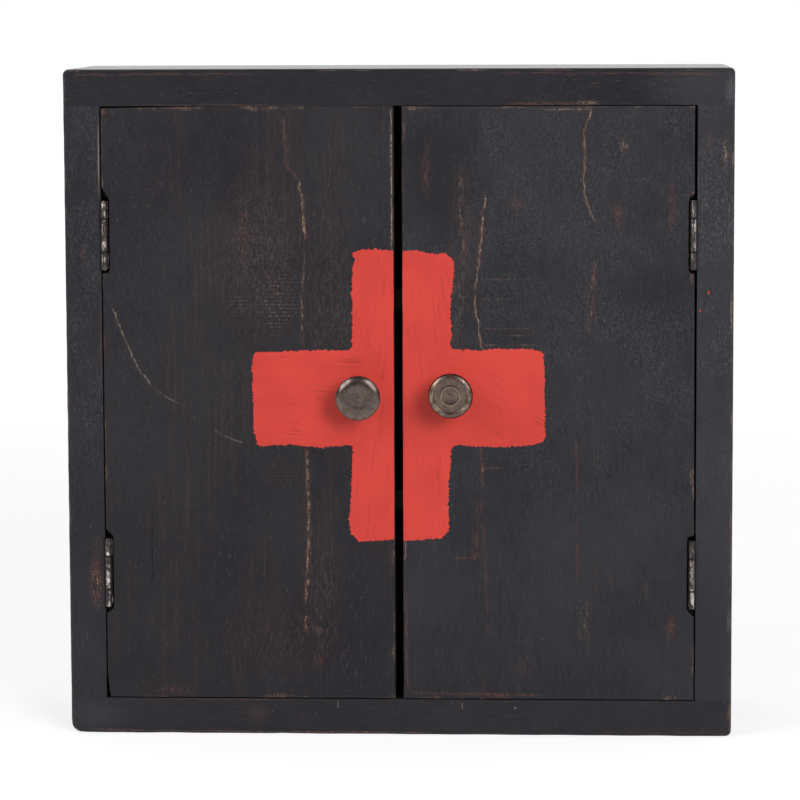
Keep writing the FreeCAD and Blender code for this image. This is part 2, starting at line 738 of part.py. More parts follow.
def carcass_nodes():
    carcass = carcass_screws()
    back = back_nails()
    hangers = hanger_screws()
    catches = catch_screws()
    cleats = cleat_nails()
    shelves = shelf_nails()
    framing = carcass.holes() + back.holes()
    nodes = {
        "top_board": drilled(long_board(HEIGHT, CEILING_Z), framing + catches.holes()),
        "bottom_board": drilled(long_board(0, FLOOR_Z), framing),
        "back_panel": drilled(back_panel(), back.holes()),
        "carcass_screws": carcass.solids(),
        "back_panel_nails": back.solids(),
        "wall_hanger_screws": hangers.solids(),
        "catch_screws": catches.solids(),
        "cleat_nails": cleats.solids(),
        "shelf_nails": shelves.solids(),
    }
    for name, side in SIDES.items():
        side_holes = framing + hangers.holes() + cleats.holes() + frame_leaf_screws(side).holes()
        nodes[f"{name}_side_board"] = drilled(side_board(side), side_holes)
        nodes[f"{name}_wall_hanger"] = drilled(wall_hanger(side), hangers.holes())
        nodes[f"{name}_catch_housing"] = drilled(catch_housing(side), catches.holes())
        nodes[f"{name}_catch_magnet"] = catch_magnet(side)
        nodes[f"{name}_catch_poles"] = catch_poles(side)
    for level, under in zip(LEVELS, shelf_levels()):
        nodes[f"{level}_shelf"] = drilled(shelf(under), shelves.holes())
        for name, side in SIDES.items():
            nodes[f"{level}_{name}_cleat"] = drilled(cleat(side, under), cleats.holes() + shelves.holes())
    return nodes


def hinge_nodes(name):
    """The half of each hinge that stays with the carcass."""
    side = SIDES[name]
    screws = frame_leaf_screws(side)
    nodes = {f"{name}_frame_leaf_screws": screws.solids()}
    for level, middle in hinge_heights().items():
        nodes[f"{level}_{name}_frame_leaf"] = drilled(frame_leaf(side, middle), screws.holes())
        nodes[f"{level}_{name}_hinge_pin"] = hinge_pin(side, middle)
    return nodes


def door_nodes(name):
    """Everything that swings with a door."""
    side = SIDES[name]
    screws = door_leaf_screws(side)
    wide, narrow = door_boards(name)
    nodes = {
        f"{name}_door_wide_board": wide,
        f"{name}_door_narrow_board": narrow,
        f"{name}_door_leaf_screws": screws.solids(),
        f"{name}_knob": knob(name),
        f"{name}_knob_screw": knob_screw(name),
        f"{name}_knob_washer": knob_washer(name),
        f"{name}_strike_plate": strike_plate(side),
        f"{name}_strike_screw": strike_screw(side).solids(),
    }
    for level, middle in hinge_heights().items():
        nodes[f"{level}_{name}_door_leaf"] = drilled(door_leaf(side, middle), screws.holes())
    return nodes


def main():
    nodes = carcass_nodes()
    for name in SIDES:
        nodes.update(hinge_nodes(name))
        nodes.update(door_nodes(name))
    os.makedirs("parts", exist_ok=True)
    for name, shape in nodes.items():
        shape.exportStep(f"parts/{name}.step")
        print(f"{name}: {len(shape.Solids)} solid(s), {shape.Volume:.1f} mm3, valid {shape.isValid()}")


main()
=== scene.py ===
import logging
import math
from dataclasses import dataclass, field
from enum import Enum
from typing import Any, Callable, Iterable, Sequence, Union

import bmesh
import bpy
import numpy as np
from bpy.types import Material, Mesh, Object
from mathutils import Matrix, Vector
from mathutils.geometry import delaunay_2d_cdt


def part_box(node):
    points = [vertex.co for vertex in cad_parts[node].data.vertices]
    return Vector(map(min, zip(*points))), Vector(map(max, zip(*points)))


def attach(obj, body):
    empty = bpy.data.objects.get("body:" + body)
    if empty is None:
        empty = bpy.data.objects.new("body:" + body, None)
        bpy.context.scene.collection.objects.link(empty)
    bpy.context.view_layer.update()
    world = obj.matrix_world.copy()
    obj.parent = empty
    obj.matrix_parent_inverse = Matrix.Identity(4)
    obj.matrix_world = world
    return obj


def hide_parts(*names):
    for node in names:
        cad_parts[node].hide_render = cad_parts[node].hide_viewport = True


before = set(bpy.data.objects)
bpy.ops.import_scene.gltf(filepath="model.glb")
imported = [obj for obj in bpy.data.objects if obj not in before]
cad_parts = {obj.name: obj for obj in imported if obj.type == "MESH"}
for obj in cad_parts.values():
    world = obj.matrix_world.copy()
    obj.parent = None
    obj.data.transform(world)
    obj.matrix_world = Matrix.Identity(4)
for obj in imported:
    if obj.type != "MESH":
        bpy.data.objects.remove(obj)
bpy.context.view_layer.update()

# Looks of a worn wooden medicine cabinet: boards, doors, a painted cross, knobs, hinges and fittings.
# Sizes are in millimetres until a mesh is made, and meshes are in metres.
MM = 0.001
log = logging.getLogger("medicine_cabinet")

# A colour, a place in X and Z, one in space, a line of places in X and Z, and what a node is given
Colour = tuple[float, ...]
Flat = tuple[float, float]
Place = tuple[float, float, float]
Line = tuple[Flat, ...]
Given = Union[dict, None]


class Side(Enum):
    """The two hands of the cabinet, by the sign of X."""

    LEFT = -1
    RIGHT = 1

    @property
    def word(self) -> str:
        """The word used in the names of pieces."""
        return self.name.lower()

    @property
    def door(self) -> str:
        """The body that the door on this side is."""
        return f"{self.word}_door"

    @property
    def outer(self) -> str:
        """The face that looks away from the middle."""
        return "-x" if self is Side.LEFT else "+x"

    @property
    def inner(self) -> str:
        """The face that looks to the middle."""
        return "+x" if self is Side.LEFT else "-x"


class Grain(Enum):
    """The way the grain of a board runs."""

    ACROSS = 0
    UP = 2

    def stretch(self, factor: float) -> list[float]:
        """How noise is stretched along each axis, by a factor along the grain."""
        return [factor if axis == self.value else 1.0 for axis in range(3)]


CABINET = "cabinet"
FACES = {"-x": (0, -1), "+x": (0, 1), "-y": (1, -1), "+y": (1, 1), "-z": (2, -1), "+z": (2, 1)}
# Grid lines this far from each edge of a board carry the shape of its worn edges
NEAR_EDGE = (0.0, 0.15, 0.35, 0.6, 0.9, 1.3, 1.8, 2.4, 3.1, 3.9, 5.0)
FAR = 5000.0
# Points of a solid that are closer than this are one
WELD = 0.002
# Where the front and the top of the cabinet are
FRONT_Y, TOP_Z = -60.0, 402.0
# Hinges stand this far above and below a level, with the joints of their knuckles half a knuckle from their middles
HINGE_LEVEL, HINGE_RISE, KNUCKLE_HALF = 201.0, 102.0, 10.0


def tone(red: float, green: float, blue: float) -> Colour:
    """Turns a colour as a screen shows it, 0 to 255, into the linear one that a shader takes."""
    parts = (part / 255 for part in (red, green, blue))
    return tuple(p / 12.92 if p <= 0.04045 else ((p + 0.055) / 1.055) ** 2.4 for p in parts)


BARE_WOOD = tone(178, 149, 126)
PALE_WOOD = tone(196, 180, 164)
RED_BROWN = tone(105, 72, 65)
BROWN = tone(96, 77, 71)
LIGHT_GREY = tone(112, 111, 115)
SHADOW = tone(14, 11, 11)
RUST = tone(86, 48, 34)
CROSS_RED = tone(220, 74, 65)


def arithmetic(operation: str, swapped: bool = False) -> Callable[..., "Sock"]:
    """Makes the method that adds the Math node of one operation.

    Args:
        operation: what the node does.
        swapped: whether the other value comes first.

    Returns:
        The method.
    """

    def method(sock: "Sock", other: Any = 0.0) -> "Sock":
        """Adds the node."""
        values = (other, sock) if swapped else (sock, other)
        return sock.tree.get("ShaderNodeMath", {"operation": operation}, dict(enumerate(values)))

    return method


class Sock:
    """An output of a node. Arithmetic on it adds the Math nodes that work it out."""

    __add__, __radd__ = arithmetic("ADD"), arithmetic("ADD", True)
    __sub__, __rsub__ = arithmetic("SUBTRACT"), arithmetic("SUBTRACT", True)
    __mul__, __rmul__ = arithmetic("MULTIPLY"), arithmetic("MULTIPLY", True)
    __truediv__, __rtruediv__ = arithmetic("DIVIDE"), arithmetic("DIVIDE", True)
    low, high = arithmetic("MINIMUM"), arithmetic("MAXIMUM")
    size, wave = arithmetic("ABSOLUTE"), arithmetic("SINE")

    def __init__(self, tree: "Tree", socket: bpy.types.NodeSocket) -> None:
        """Keeps the socket and the tree it is in."""
        self.tree = tree
        self.socket = socket

    def step(self, start: float, end: float) -> "Sock":
        """Goes smoothly from 0 at start to 1 at end, either way round."""
        sockets = {"Value": self, "From Min": start, "From Max": end}
        return self.tree.get("ShaderNodeMapRange", {"interpolation_type": "SMOOTHSTEP"}, sockets)


class Tree:
    """A node tree that is built one node at a time."""

    def __init__(self, tree: bpy.types.NodeTree) -> None:
        """Keeps the tree, emptied."""
        self.tree = tree
        tree.nodes.clear()

    def add(self, kind: str, settings: Given = None, sockets: Given = None) -> bpy.types.Node:
        """Adds a node of any kind.

        Args:
            kind: the node's type.
            settings: its properties, set first; points is the line of a Float Curve.
            sockets: values or links by the name or number of an input.

        Returns:
            The new node.
        """
        node = self.tree.nodes.new(kind)
        for name, value in (settings or {}).items():
            if name == "points":
                line = node.mapping.curves[0]
                for spot, place in zip(line.points, (value[0], value[-1])):
                    spot.location = place
                for place in value[1:-1]:
                    line.points.new(*place)
                node.mapping.update()
            else:
                setattr(node, name, value)
        for key, value in (sockets or {}).items():
            source = value.socket if isinstance(value, Sock) else value
            if isinstance(source, bpy.types.NodeSocket):
                self.tree.links.new(source, node.inputs[key])
            else:
                node.inputs[key].default_value = source
        return node

    def get(self, kind: str, settings: Given = None, sockets: Given = None, output: Any = 0) -> Sock:
        """Adds a node and takes one of its outputs."""
        return Sock(self, self.add(kind, settings, sockets).outputs[output])


class Shade(Tree):
    """The node tree of one material, which reads the piece's own places in millimetres."""

    def __init__(self, name: str) -> None:
        """Starts a material.

        Args:
            name: the material's name.
        """
        self.material = bpy.data.materials.new(name)
        self.material.use_nodes = True
        super().__init__(self.material.node_tree)
        self.mm = self.vector("SCALE", self.get("ShaderNodeTexCoord", output="Object"), scale=1 / MM)
        parts = self.add("ShaderNodeSeparateXYZ", None, {0: self.mm})
        self.xyz = [Sock(self, output) for output in parts.outputs]

    def vector(self, operation: str, first: Any, second: Any = None, scale: Any = None) -> Sock:
        """Adds one Vector Math node.

        Args:
            operation: what it does.
            first: the vector it works on.
            second: another vector, if there is one.
            scale: the factor of a scaling.

        Returns:
            The vector, or the value where the operation gives one.
        """
        sockets = {0: first}
        if second is not None:
            sockets[1] = second
        if scale is not None:
            sockets[3] = scale
        output = "Value" if operation == "LENGTH" else "Vector"
        return self.get("ShaderNodeVectorMath", {"operation": operation}, sockets, output)

    def away(self, middle: Flat, half: Flat) -> Sock:
        """How far a point of the front is from a middle, where 1 is the rim of an oval."""
        gap = self.vector("SUBTRACT", self.mm, (middle[0], 0.0, middle[1]))
        return self.vector("LENGTH", self.vector("MULTIPLY", gap, (1 / half[0], 0.0, 1 / half[1])))

    def mapped(self, stretch: Sequence[float], shift: float = 0.0, turn: float = 0.0) -> Sock:
        """The place moved on by a shift, turned about Y, then stretched along each axis.

        Args:
            stretch: the factor along each axis.
            shift: how far it moves.
            turn: in radians.

        Returns:
            The new place.
        """
        sockets = {
            0: self.mm,
            "Location": (-shift, -0.7 * shift, -1.3 * shift),
            "Rotation": (0.0, turn, 0.0),
            "Scale": tuple(1 / factor for factor in stretch),
        }
        return self.get("ShaderNodeMapping", {"vector_type": "TEXTURE"}, sockets)

    def noise(
        self,
        scale: float,
        stretch: Sequence[float] = (1.0, 1.0, 1.0),
        detail: float = 2.0,
        rough: float = 0.5,
        shift: float = 0.0,
        turn: float = 0.0,
        twist: float = 0.0,
    ) -> Sock:
        """Adds soft random noise.

        Args:
            scale: cells to a millimetre.
            stretch: how much the place is stretched along each axis first.
            detail: layers of finer noise.
            rough: how strong the finer layers are.
            shift: moves the pattern on.
            turn: turns the pattern about Y, in radians.
            twist: how far the pattern is distorted.

        Returns:
            A value that is mostly between 0.3 and 0.7.
        """
        sockets = {
            "Vector": self.mapped(stretch, shift, turn),
            "Scale": scale,
            "Detail": detail,
            "Roughness": rough,
            "Distortion": twist,
        }
        return self.get("ShaderNodeTexNoise", None, sockets)

    def specks(self, scale: float, size: float, share: float) -> Sock:
        """Tiny dots that lie on every face.

        Args:
            scale: cells to a millimetre.
            size: radius of a dot, in cells.
            share: share of the cells that have one.

        Returns:
            A mask that is 1 on the dots.
        """
        x, y, z = self.xyz
        flat = self.get("ShaderNodeCombineXYZ", None, {0: x + 0.37 * y, 1: z + 0.91 * y})
        sockets = {"Vector": flat, "Scale": scale}
        cells = self.add("ShaderNodeTexVoronoi", {"voronoi_dimensions": "2D"}, sockets).outputs
        chosen = self.get("ShaderNodeSeparateColor", None, {0: cells["Color"]}).step(share, share * 0.8)
        return Sock(self, cells["Distance"]).step(size, size * 0.4) * chosen

    def edge(self, low: Sequence[float], high: Sequence[float]) -> Sock:
        """How far a point on a box is from the nearest edge of the box, in millimetres."""
        a, b, c = [(at - lo).low(hi - at) for at, lo, hi in zip(self.xyz, low, high)]
        return a.low(b).high(a.high(b).low(c))

    def mix(self, factor: Any, first: Any, second: Any) -> Sock:
        """Mixes two colours.

        Args:
            factor: how far it is the second.
            first: a colour.
            second: another.

        Returns:
            The mixed colour.
        """
        colours = [(*c, 1.0) if isinstance(c, tuple) else c for c in (first, second)]
        sockets = {0: factor, 6: colours[0], 7: colours[1]}
        return self.get("ShaderNodeMix", {"data_type": "RGBA"}, sockets, 2)

    def bump(self, height: Sock, depth: float, strength: float = 1.0) -> Sock:
        """Turns a height from 0 to 1 into a normal, for a relief of a depth in millimetres."""
        sockets = {"Strength": strength, "Distance": depth * MM, "Height": height}
        return self.get("ShaderNodeBump", None, sockets)

    def surface(self, colour: Sock, rough: Any, normal: Sock, metal: Any = 0.0, specular: float = 0.5) -> Material:
        """Ends the tree in a Principled shader.

        Args:
            colour: its colour.
            rough: its roughness.
            normal: its normal, from a bump.
            metal: how far it is metal.
            specular: how strongly it mirrors.

        Returns:
            The finished material.
        """
        sockets = {"Base Color": colour, "Roughness": rough, "Normal": normal, "Metallic": metal}
        sockets["Specular IOR Level"] = specular
        self.add("ShaderNodeOutputMaterial", None, {0: self.get("ShaderNodeBsdfPrincipled", None, sockets)})
        return self.material


@dataclass(frozen=True)
class Breakup:
    """Noise that breaks up the marks on a board: fine grit, slow drift, dashes along the grain and dots."""

    grit: Sock
    drift: Sock
    dash: Sock
    dots: Sock


@dataclass(frozen=True)
class Streak:
    """A line of wear, a scratch or a split on the front of the cabinet."""

    points: Line
    width: float
    colour: Colour
    strength: float = 0.8
    broken: float = 0.45
    level: bool = False
    wiggle: float = 3.0
    halo: float = 0.4

    def reach(self) -> Flat:
        """The lowest and highest X that it touches."""
        xs = [x for x, _ in self.points]
        return min(xs) - self.width, max(xs) + self.width

    def layers(self, shade: Shade, breakup: Breakup) -> list[tuple[Sock, Colour]]:
        """Where it shows: a broken core in a faint halo of thin paint.

        Args:
            shade: the material.
            breakup: what breaks it up.

        Returns:
            Masks from 0 to 1 and their colours.
        """
        run, across = (0, 1) if self.level else (1, 0)
        marks = sorted(self.points, key=lambda point: point[run])
        start, end = marks[0][run], marks[-1][run]
        sides = [point[across] for point in marks]
        base, span = min(sides), max(max(sides) - min(sides), 0.01)
        line = [((point[run] - start) / (end - start), (point[across] - base) / span) for point in marks]
        along = (shade.xyz[2 * run] - start) / (end - start)
        curve = shade.get("ShaderNodeFloatCurve", {"points": line}, {"Value": along})
        sway = breakup.drift * self.wiggle + (base - 0.5 * self.wiggle)
        away = (shade.xyz[2 * across] - (curve * span + sway)).size()
        ends = along.step(-0.02, 0.06) * along.step(1.02, 0.94)
        lumps = breakup.grit * 0.55 + breakup.drift * 0.45
        core = away.step(self.width, 0.1 * self.width) * lumps.step(self.broken - 0.06, self.broken + 0.1)
        core = core * (breakup.dots.step(0.42, 0.56) * 0.8 + 0.2) * ends
        halo = away.step(3.2 * self.width, 0.4 * self.width) * breakup.dash.step(0.44, 0.6) * ends
        return [(halo * self.halo, RED_BROWN), (core, self.colour)]


@dataclass(frozen=True)
class Rub:
    """A patch of colour on the front of the cabinet: mostly a rubbed place, in a few places only a lighter or darker
    tone, once a painted sheen.
    """

    middle: Flat
    half: Flat
    colour: Colour
    strength: float = 0.6
    broken: float = 0.5

    def reach(self) -> Flat:
        """The lowest and highest X that it touches."""
        return self.middle[0] - self.half[0], self.middle[0] + self.half[0]

    def mask(self, shade: Shade, breakup: Breakup) -> Sock:
        """Where it shows, broken up by fine noise.

        Args:
            shade: the material.
            breakup: what breaks it up.

        Returns:
            A mask from 0 to 1.
        """
        near = shade.away(self.middle, self.half).step(1.0, 0.15)
        lumps = breakup.grit * 0.35 + breakup.dash * 0.35 + breakup.dots * 0.3
        worn = near * lumps.step(self.broken - 0.05, self.broken + 0.08)
        return worn * (breakup.dots.step(0.44, 0.57) * 0.85 + 0.35) if self.broken > 0.4 else worn

    def layers(self, shade: Shade, breakup: Breakup) -> list[tuple[Sock, Colour]]:
        """Where it shows and its colour."""
        return [(self.mask(shade, breakup), self.colour)]


@dataclass(frozen=True)
class Comb(Rub):
    """Rows of saw marks that show through the paint."""

    pitch: float = 2.25

    def mask(self, shade: Shade, breakup: Breakup) -> Sock:
        """Where the rows show, broken up into short dashes.

        Args:
            shade: the material.
            breakup: what breaks it up.

        Returns:
            A mask from 0 to 1.
        """
        rows = (shade.xyz[2] * (math.tau / self.pitch) + breakup.drift * 0.8).wave().step(0.1, 0.9)
        dashes = shade.noise(1.2, (0.6, 0.6, 1.2), 2.0, shift=23.0)
        return super().mask(shade, breakup) * rows * dashes.step(0.45, 0.58)


Mark = Union[Streak, Rub]
# Lines in X and Z that wood has split along, and rows of saw marks: two X and a Z each
LEFT_SPLIT: Line = ((-68.3, 373.3), (-67.2, 360.2), (-66.1, 345.3), (-61.9, 339.9), (-58.4, 335.2))
LEFT_LOW_SPLIT: Line = ((-149.6, 136.9), (-149.2, 115.5), (-149.5, 92.8))
RIGHT_SPLIT: Line = (
    (111.6, 367), (110.4, 359.9), (111.1, 354), (111.1, 345.1), (110.5, 333.2), (112.3, 324.2), (117.1, 311.1),
)
SAW_ROWS = (
    (49, 75, 276.6), (47, 72, 264.6), (50, 80, 247), (64, 81, 242.8), (50, 82, 237.2), (50, 66, 168.5),
    (52, 62, 163),
)
SAW_MARKS = tuple(
    Streak(((a, z), (b, z + 0.2)), 0.45, BARE_WOOD, 0.33, 0.5, level=True, wiggle=0.8) for a, b, z in SAW_ROWS
)
# What shows on the front of each outer board, in the order it was laid on
BOARD_MARKS: dict[str, tuple[Mark, ...]] = {
    "top_board": (
        Rub((88, 381), (40, 1.6), RED_BROWN, 0.55, 0.45), Rub((113, 381.5), (9, 2.4), BARE_WOOD, 0.4, 0.48),
        Rub((-100, 380.4), (75, 1), BROWN, 0.6, 0.47), Rub((197.5, 388), (5, 13), LIGHT_GREY, 0.35, 0.42),
        # The wide faint grey patch at the right end makes the top board lighter towards the right, where the light
        # comes from: a painted sheen.
        Rub((190, 390), (60, 24), LIGHT_GREY, 0.13, 0.3), Rub((118, 392), (6, 3), RED_BROWN, 0.3, 0.5),
        Streak(((-196, 398.6), (-150, 398.9), (-85, 399.3)), 0.5, BROWN, 0.55, 0.46, level=True, wiggle=1),
        Streak(((60, 399.4), (130, 398.9), (192, 398.3)), 0.5, BROWN, 0.55, 0.46, level=True, wiggle=1),
    ),
    "bottom_board": (
        Rub((-86.2, 12.5), (8.5, 8), BROWN, 0.22, 0.38), Rub((-37.4, 19), (0.7, 3.2), PALE_WOOD, 0.35, 0.42),
        Rub((37.9, 18.2), (0.7, 3.2), PALE_WOOD, 0.35, 0.42), Rub((198.5, 14), (2, 9), BARE_WOOD, 0.16, 0.47),
        Rub((-110, 21.3), (60, 1), RED_BROWN, 0.5, 0.47),
        Streak(((-190, 2.6), (-100, 1.6), (20, 1.5)), 0.55, BARE_WOOD, 0.4, 0.46, level=True, wiggle=1),
        Streak(((120, 2), (196, 2.6)), 0.5, BROWN, 0.5, 0.46, level=True, wiggle=1),
        # The wide faint grey patch at the left end makes the board lighter towards the lower left.
        Rub((70, 17), (0.9, 0.9), PALE_WOOD, 0.5, 0.38), Rub((-188, 11), (30, 16), LIGHT_GREY, 0.1, 0.3),
    ),
    "left_side_board": (
        Rub((-183.6, 94), (6.5, 20), RED_BROWN, 0.6, 0.47), Rub((-183, 90), (5.5, 17), BARE_WOOD, 0.35, 0.54),
        Rub((-182.5, 114), (5, 12), BROWN, 0.5, 0.5), Rub((-178.8, 350), (0.6, 28), PALE_WOOD, 0.4, 0.4),
        Rub((-178.8, 240), (0.6, 40), RED_BROWN, 0.55, 0.44), Rub((-189, 292), (3.5, 7), RED_BROWN, 0.3, 0.47),
        # The wide faint grey patch makes the lower part of the board lighter.
        Rub((-189, 50), (24, 80), LIGHT_GREY, 0.05, 0.3),
    ),
    "right_side_board": (
        Rub((194.3, 352.6), (2.2, 13), BARE_WOOD, 0.4, 0.51), Rub((185.1, 358.6), (3, 10), RED_BROWN, 0.5, 0.5),
        Rub((184.9, 268.7), (0.9, 1.6), CROSS_RED, 0.7, 0.34), Rub((179.9, 258), (0.9, 1.2), CROSS_RED, 0.7, 0.34),
        Rub((198.6, 255), (1, 20), BARE_WOOD, 0.45, 0.47), Rub((198.3, 71.3), (1.6, 11), PALE_WOOD, 0.4, 0.48),
        # The wide dark patch at the end makes the board darker towards the bottom.
        Rub((198.8, 125), (1, 10), RED_BROWN, 0.5, 0.44), Rub((186, 50), (24, 120), tone(44, 43, 47), 0.6, 0.3),
    ),
}
# What shows on the front of each door, in the order it was laid on
DOOR_MARKS: dict[Side, tuple[Mark, ...]] = {
    Side.LEFT: (
        Rub((-84, 292), (34, 62), BROWN, 0.5, 0.52), Rub((-92, 305), (5, 28), RED_BROWN, 0.32, 0.5),
        Rub((-40, 250), (20, 110), BROWN, 0.35, 0.53), Rub((-45, 90), (14, 50), BROWN, 0.35, 0.52),
        Comb((-71, 262), (18, 28), BARE_WOOD, 0.27, 0.47), Comb((-96, 260), (8, 9), BARE_WOOD, 0.3, 0.45),
        Comb((-70, 160), (16, 16), BROWN, 0.45, 0.46), Streak(LEFT_SPLIT, 0.8, BROWN, 0.8, 0.4),
        Streak(
            ((-58.4, 335.2), (-59, 331.6), (-57.2, 326.8), (-56.7, 312.4), (-55.6, 300.5)), 1.1, BARE_WOOD, 0.65, 0.48
        ),
        Streak(((-55.6, 302), (-56.3, 282.5), (-57.7, 264.4), (-57.3, 237.3)), 0.9, BARE_WOOD, 0.4, 0.5),
        Streak(
            ((-55.3, 175.6), (-54.8, 155.5), (-54.4, 131.2), (-55.1, 106.7), (-56.5, 80.4)),
            1.2, BARE_WOOD, 0.75, 0.48,
        ),
        Streak(((-56.6, 73), (-56.4, 62.6)), 0.9, BARE_WOOD, 0.65, 0.47), Rub((-50, 64), (8, 4), BROWN, 0.5, 0.48),
        Rub((-49, 46), (4.5, 5), RED_BROWN, 0.5, 0.47),
        Streak(
            ((-172.3, 261.4), (-167.6, 249.3), (-161.7, 234.2), (-155.8, 222.1), (-143.9, 208.8), (-130, 200.9)),
            0.9, PALE_WOOD, 0.4, 0.48,
        ),
        Streak(((-110.8, 185.8), (-101.8, 180.9), (-93.9, 177.9)), 0.6, PALE_WOOD, 0.38, 0.47, level=True),
        Streak(((-3.9, 294.5), (-3.7, 340), (-3.9, 379)), 0.6, PALE_WOOD, 0.6, 0.44, wiggle=1),
        Streak(LEFT_LOW_SPLIT, 0.6, SHADOW, 0.8, 0.3, halo=0), Rub((-136, 27), (16, 6), RED_BROWN, 0.4, 0.5),
        Rub((-70, 60), (45, 30), RED_BROWN, 0.25, 0.53), Rub((-175.6, 376.6), (2.2, 2.2), RED_BROWN, 0.8, 0.38),
    ),
    Side.RIGHT: (
        *SAW_MARKS,
        Rub((24, 338), (38, 66), tone(30, 28, 31), 0.6, 0.3), Rub((40, 290), (14, 60), BROWN, 0.35, 0.53),
        Rub((17, 342), (4, 24), RED_BROWN, 0.45, 0.5),
        Streak(
            ((38.5, 345.2), (37.2, 324.3), (39, 288.5), (36.6, 273.5), (37.7, 264.5), (34.7, 246.5), (36.5, 234.4)),
            2, BARE_WOOD, 0.35, 0.54,
        ),
        Streak(
            ((52.8, 330.3), (51, 315.3), (49.1, 297.4), (47.3, 279.5), (46.1, 264.5), (47.9, 249.5), (49.7, 234.4)),
            0.8, BARE_WOOD, 0.75, 0.48,
        ),
        Streak(((49.6, 176), (49.9, 165), (50.2, 158.9), (52, 149.8)), 0.8, BARE_WOOD, 0.45, 0.5),
        Streak(((48.3, 143.7), (47.1, 125.5), (45.9, 107.2)), 1.6, RED_BROWN, 0.55, 0.49),
        Streak(((114.6, 377.7), (114, 372.9), *RIGHT_SPLIT), 0.65, BARE_WOOD, 0.8, 0.46),
        Streak(
            ((117.7, 288.4), (116.6, 280.1), (115.4, 264.5), (114.8, 254.9), (114.3, 243.5)),
            1.6, BARE_WOOD, 0.4, 0.53,
        ),
        Streak(((106.3, 182), (106.6, 140), (107.4, 92)), 0.6, RED_BROWN, 0.5, 0.5, wiggle=1.5),
        Streak(((33, 108.2), (46.5, 108.8)), 0.8, RED_BROWN, 0.6, 0.46, level=True, wiggle=1),
        Streak(((51, 134), (52, 100), (53, 62)), 0.5, BROWN, 0.5, 0.5),
        Rub((130.8, 315.3), (5, 11), RED_BROWN, 0.6, 0.49), Rub((162.8, 318.2), (4, 22), RED_BROWN, 0.5, 0.5),
        Rub((134.2, 356.9), (4, 7), BARE_WOOD, 0.4, 0.52), Rub((70, 322), (7, 8), RED_BROWN, 0.4, 0.5),
        Comb((85, 252), (34, 34), BROWN, 0.3, 0.5), Comb((76, 160), (26, 14), BROWN, 0.35, 0.49),
        Rub((163.4, 66.8), (4.5, 12), RED_BROWN, 0.55, 0.48), Rub((175.5, 327.5), (1.8, 4), BROWN, 0.8, 0.42),
        Rub((174.8, 277), (1.8, 5), BROWN, 0.8, 0.42), Rub((111, 72), (6, 18), BARE_WOOD, 0.45, 0.57),
        Rub((147.7, 89.3), (2.4, 11), BROWN, 0.6, 0.52), Rub((75, 42), (9, 7), RED_BROWN, 0.3, 0.5),
        Rub((60, 24.6), (34, 1.2), RED_BROWN, 0.55, 0.46),
        Streak(((3.9, 107), (3.8, 118.6)), 0.6, BARE_WOOD, 0.6, 0.42),
        Streak(((4.4, 90), (4.3, 60), (4.8, 33), (6, 28)), 0.6, RED_BROWN, 0.65, 0.42, wiggle=1),
        Streak(((6, 27), (16, 26), (50, 25.6), (86, 25)), 0.6, RED_BROWN, 0.6, 0.44, level=True, wiggle=1),
        Rub((100, 377.6), (22, 1), BARE_WOOD, 0.4, 0.47),
    ),
}


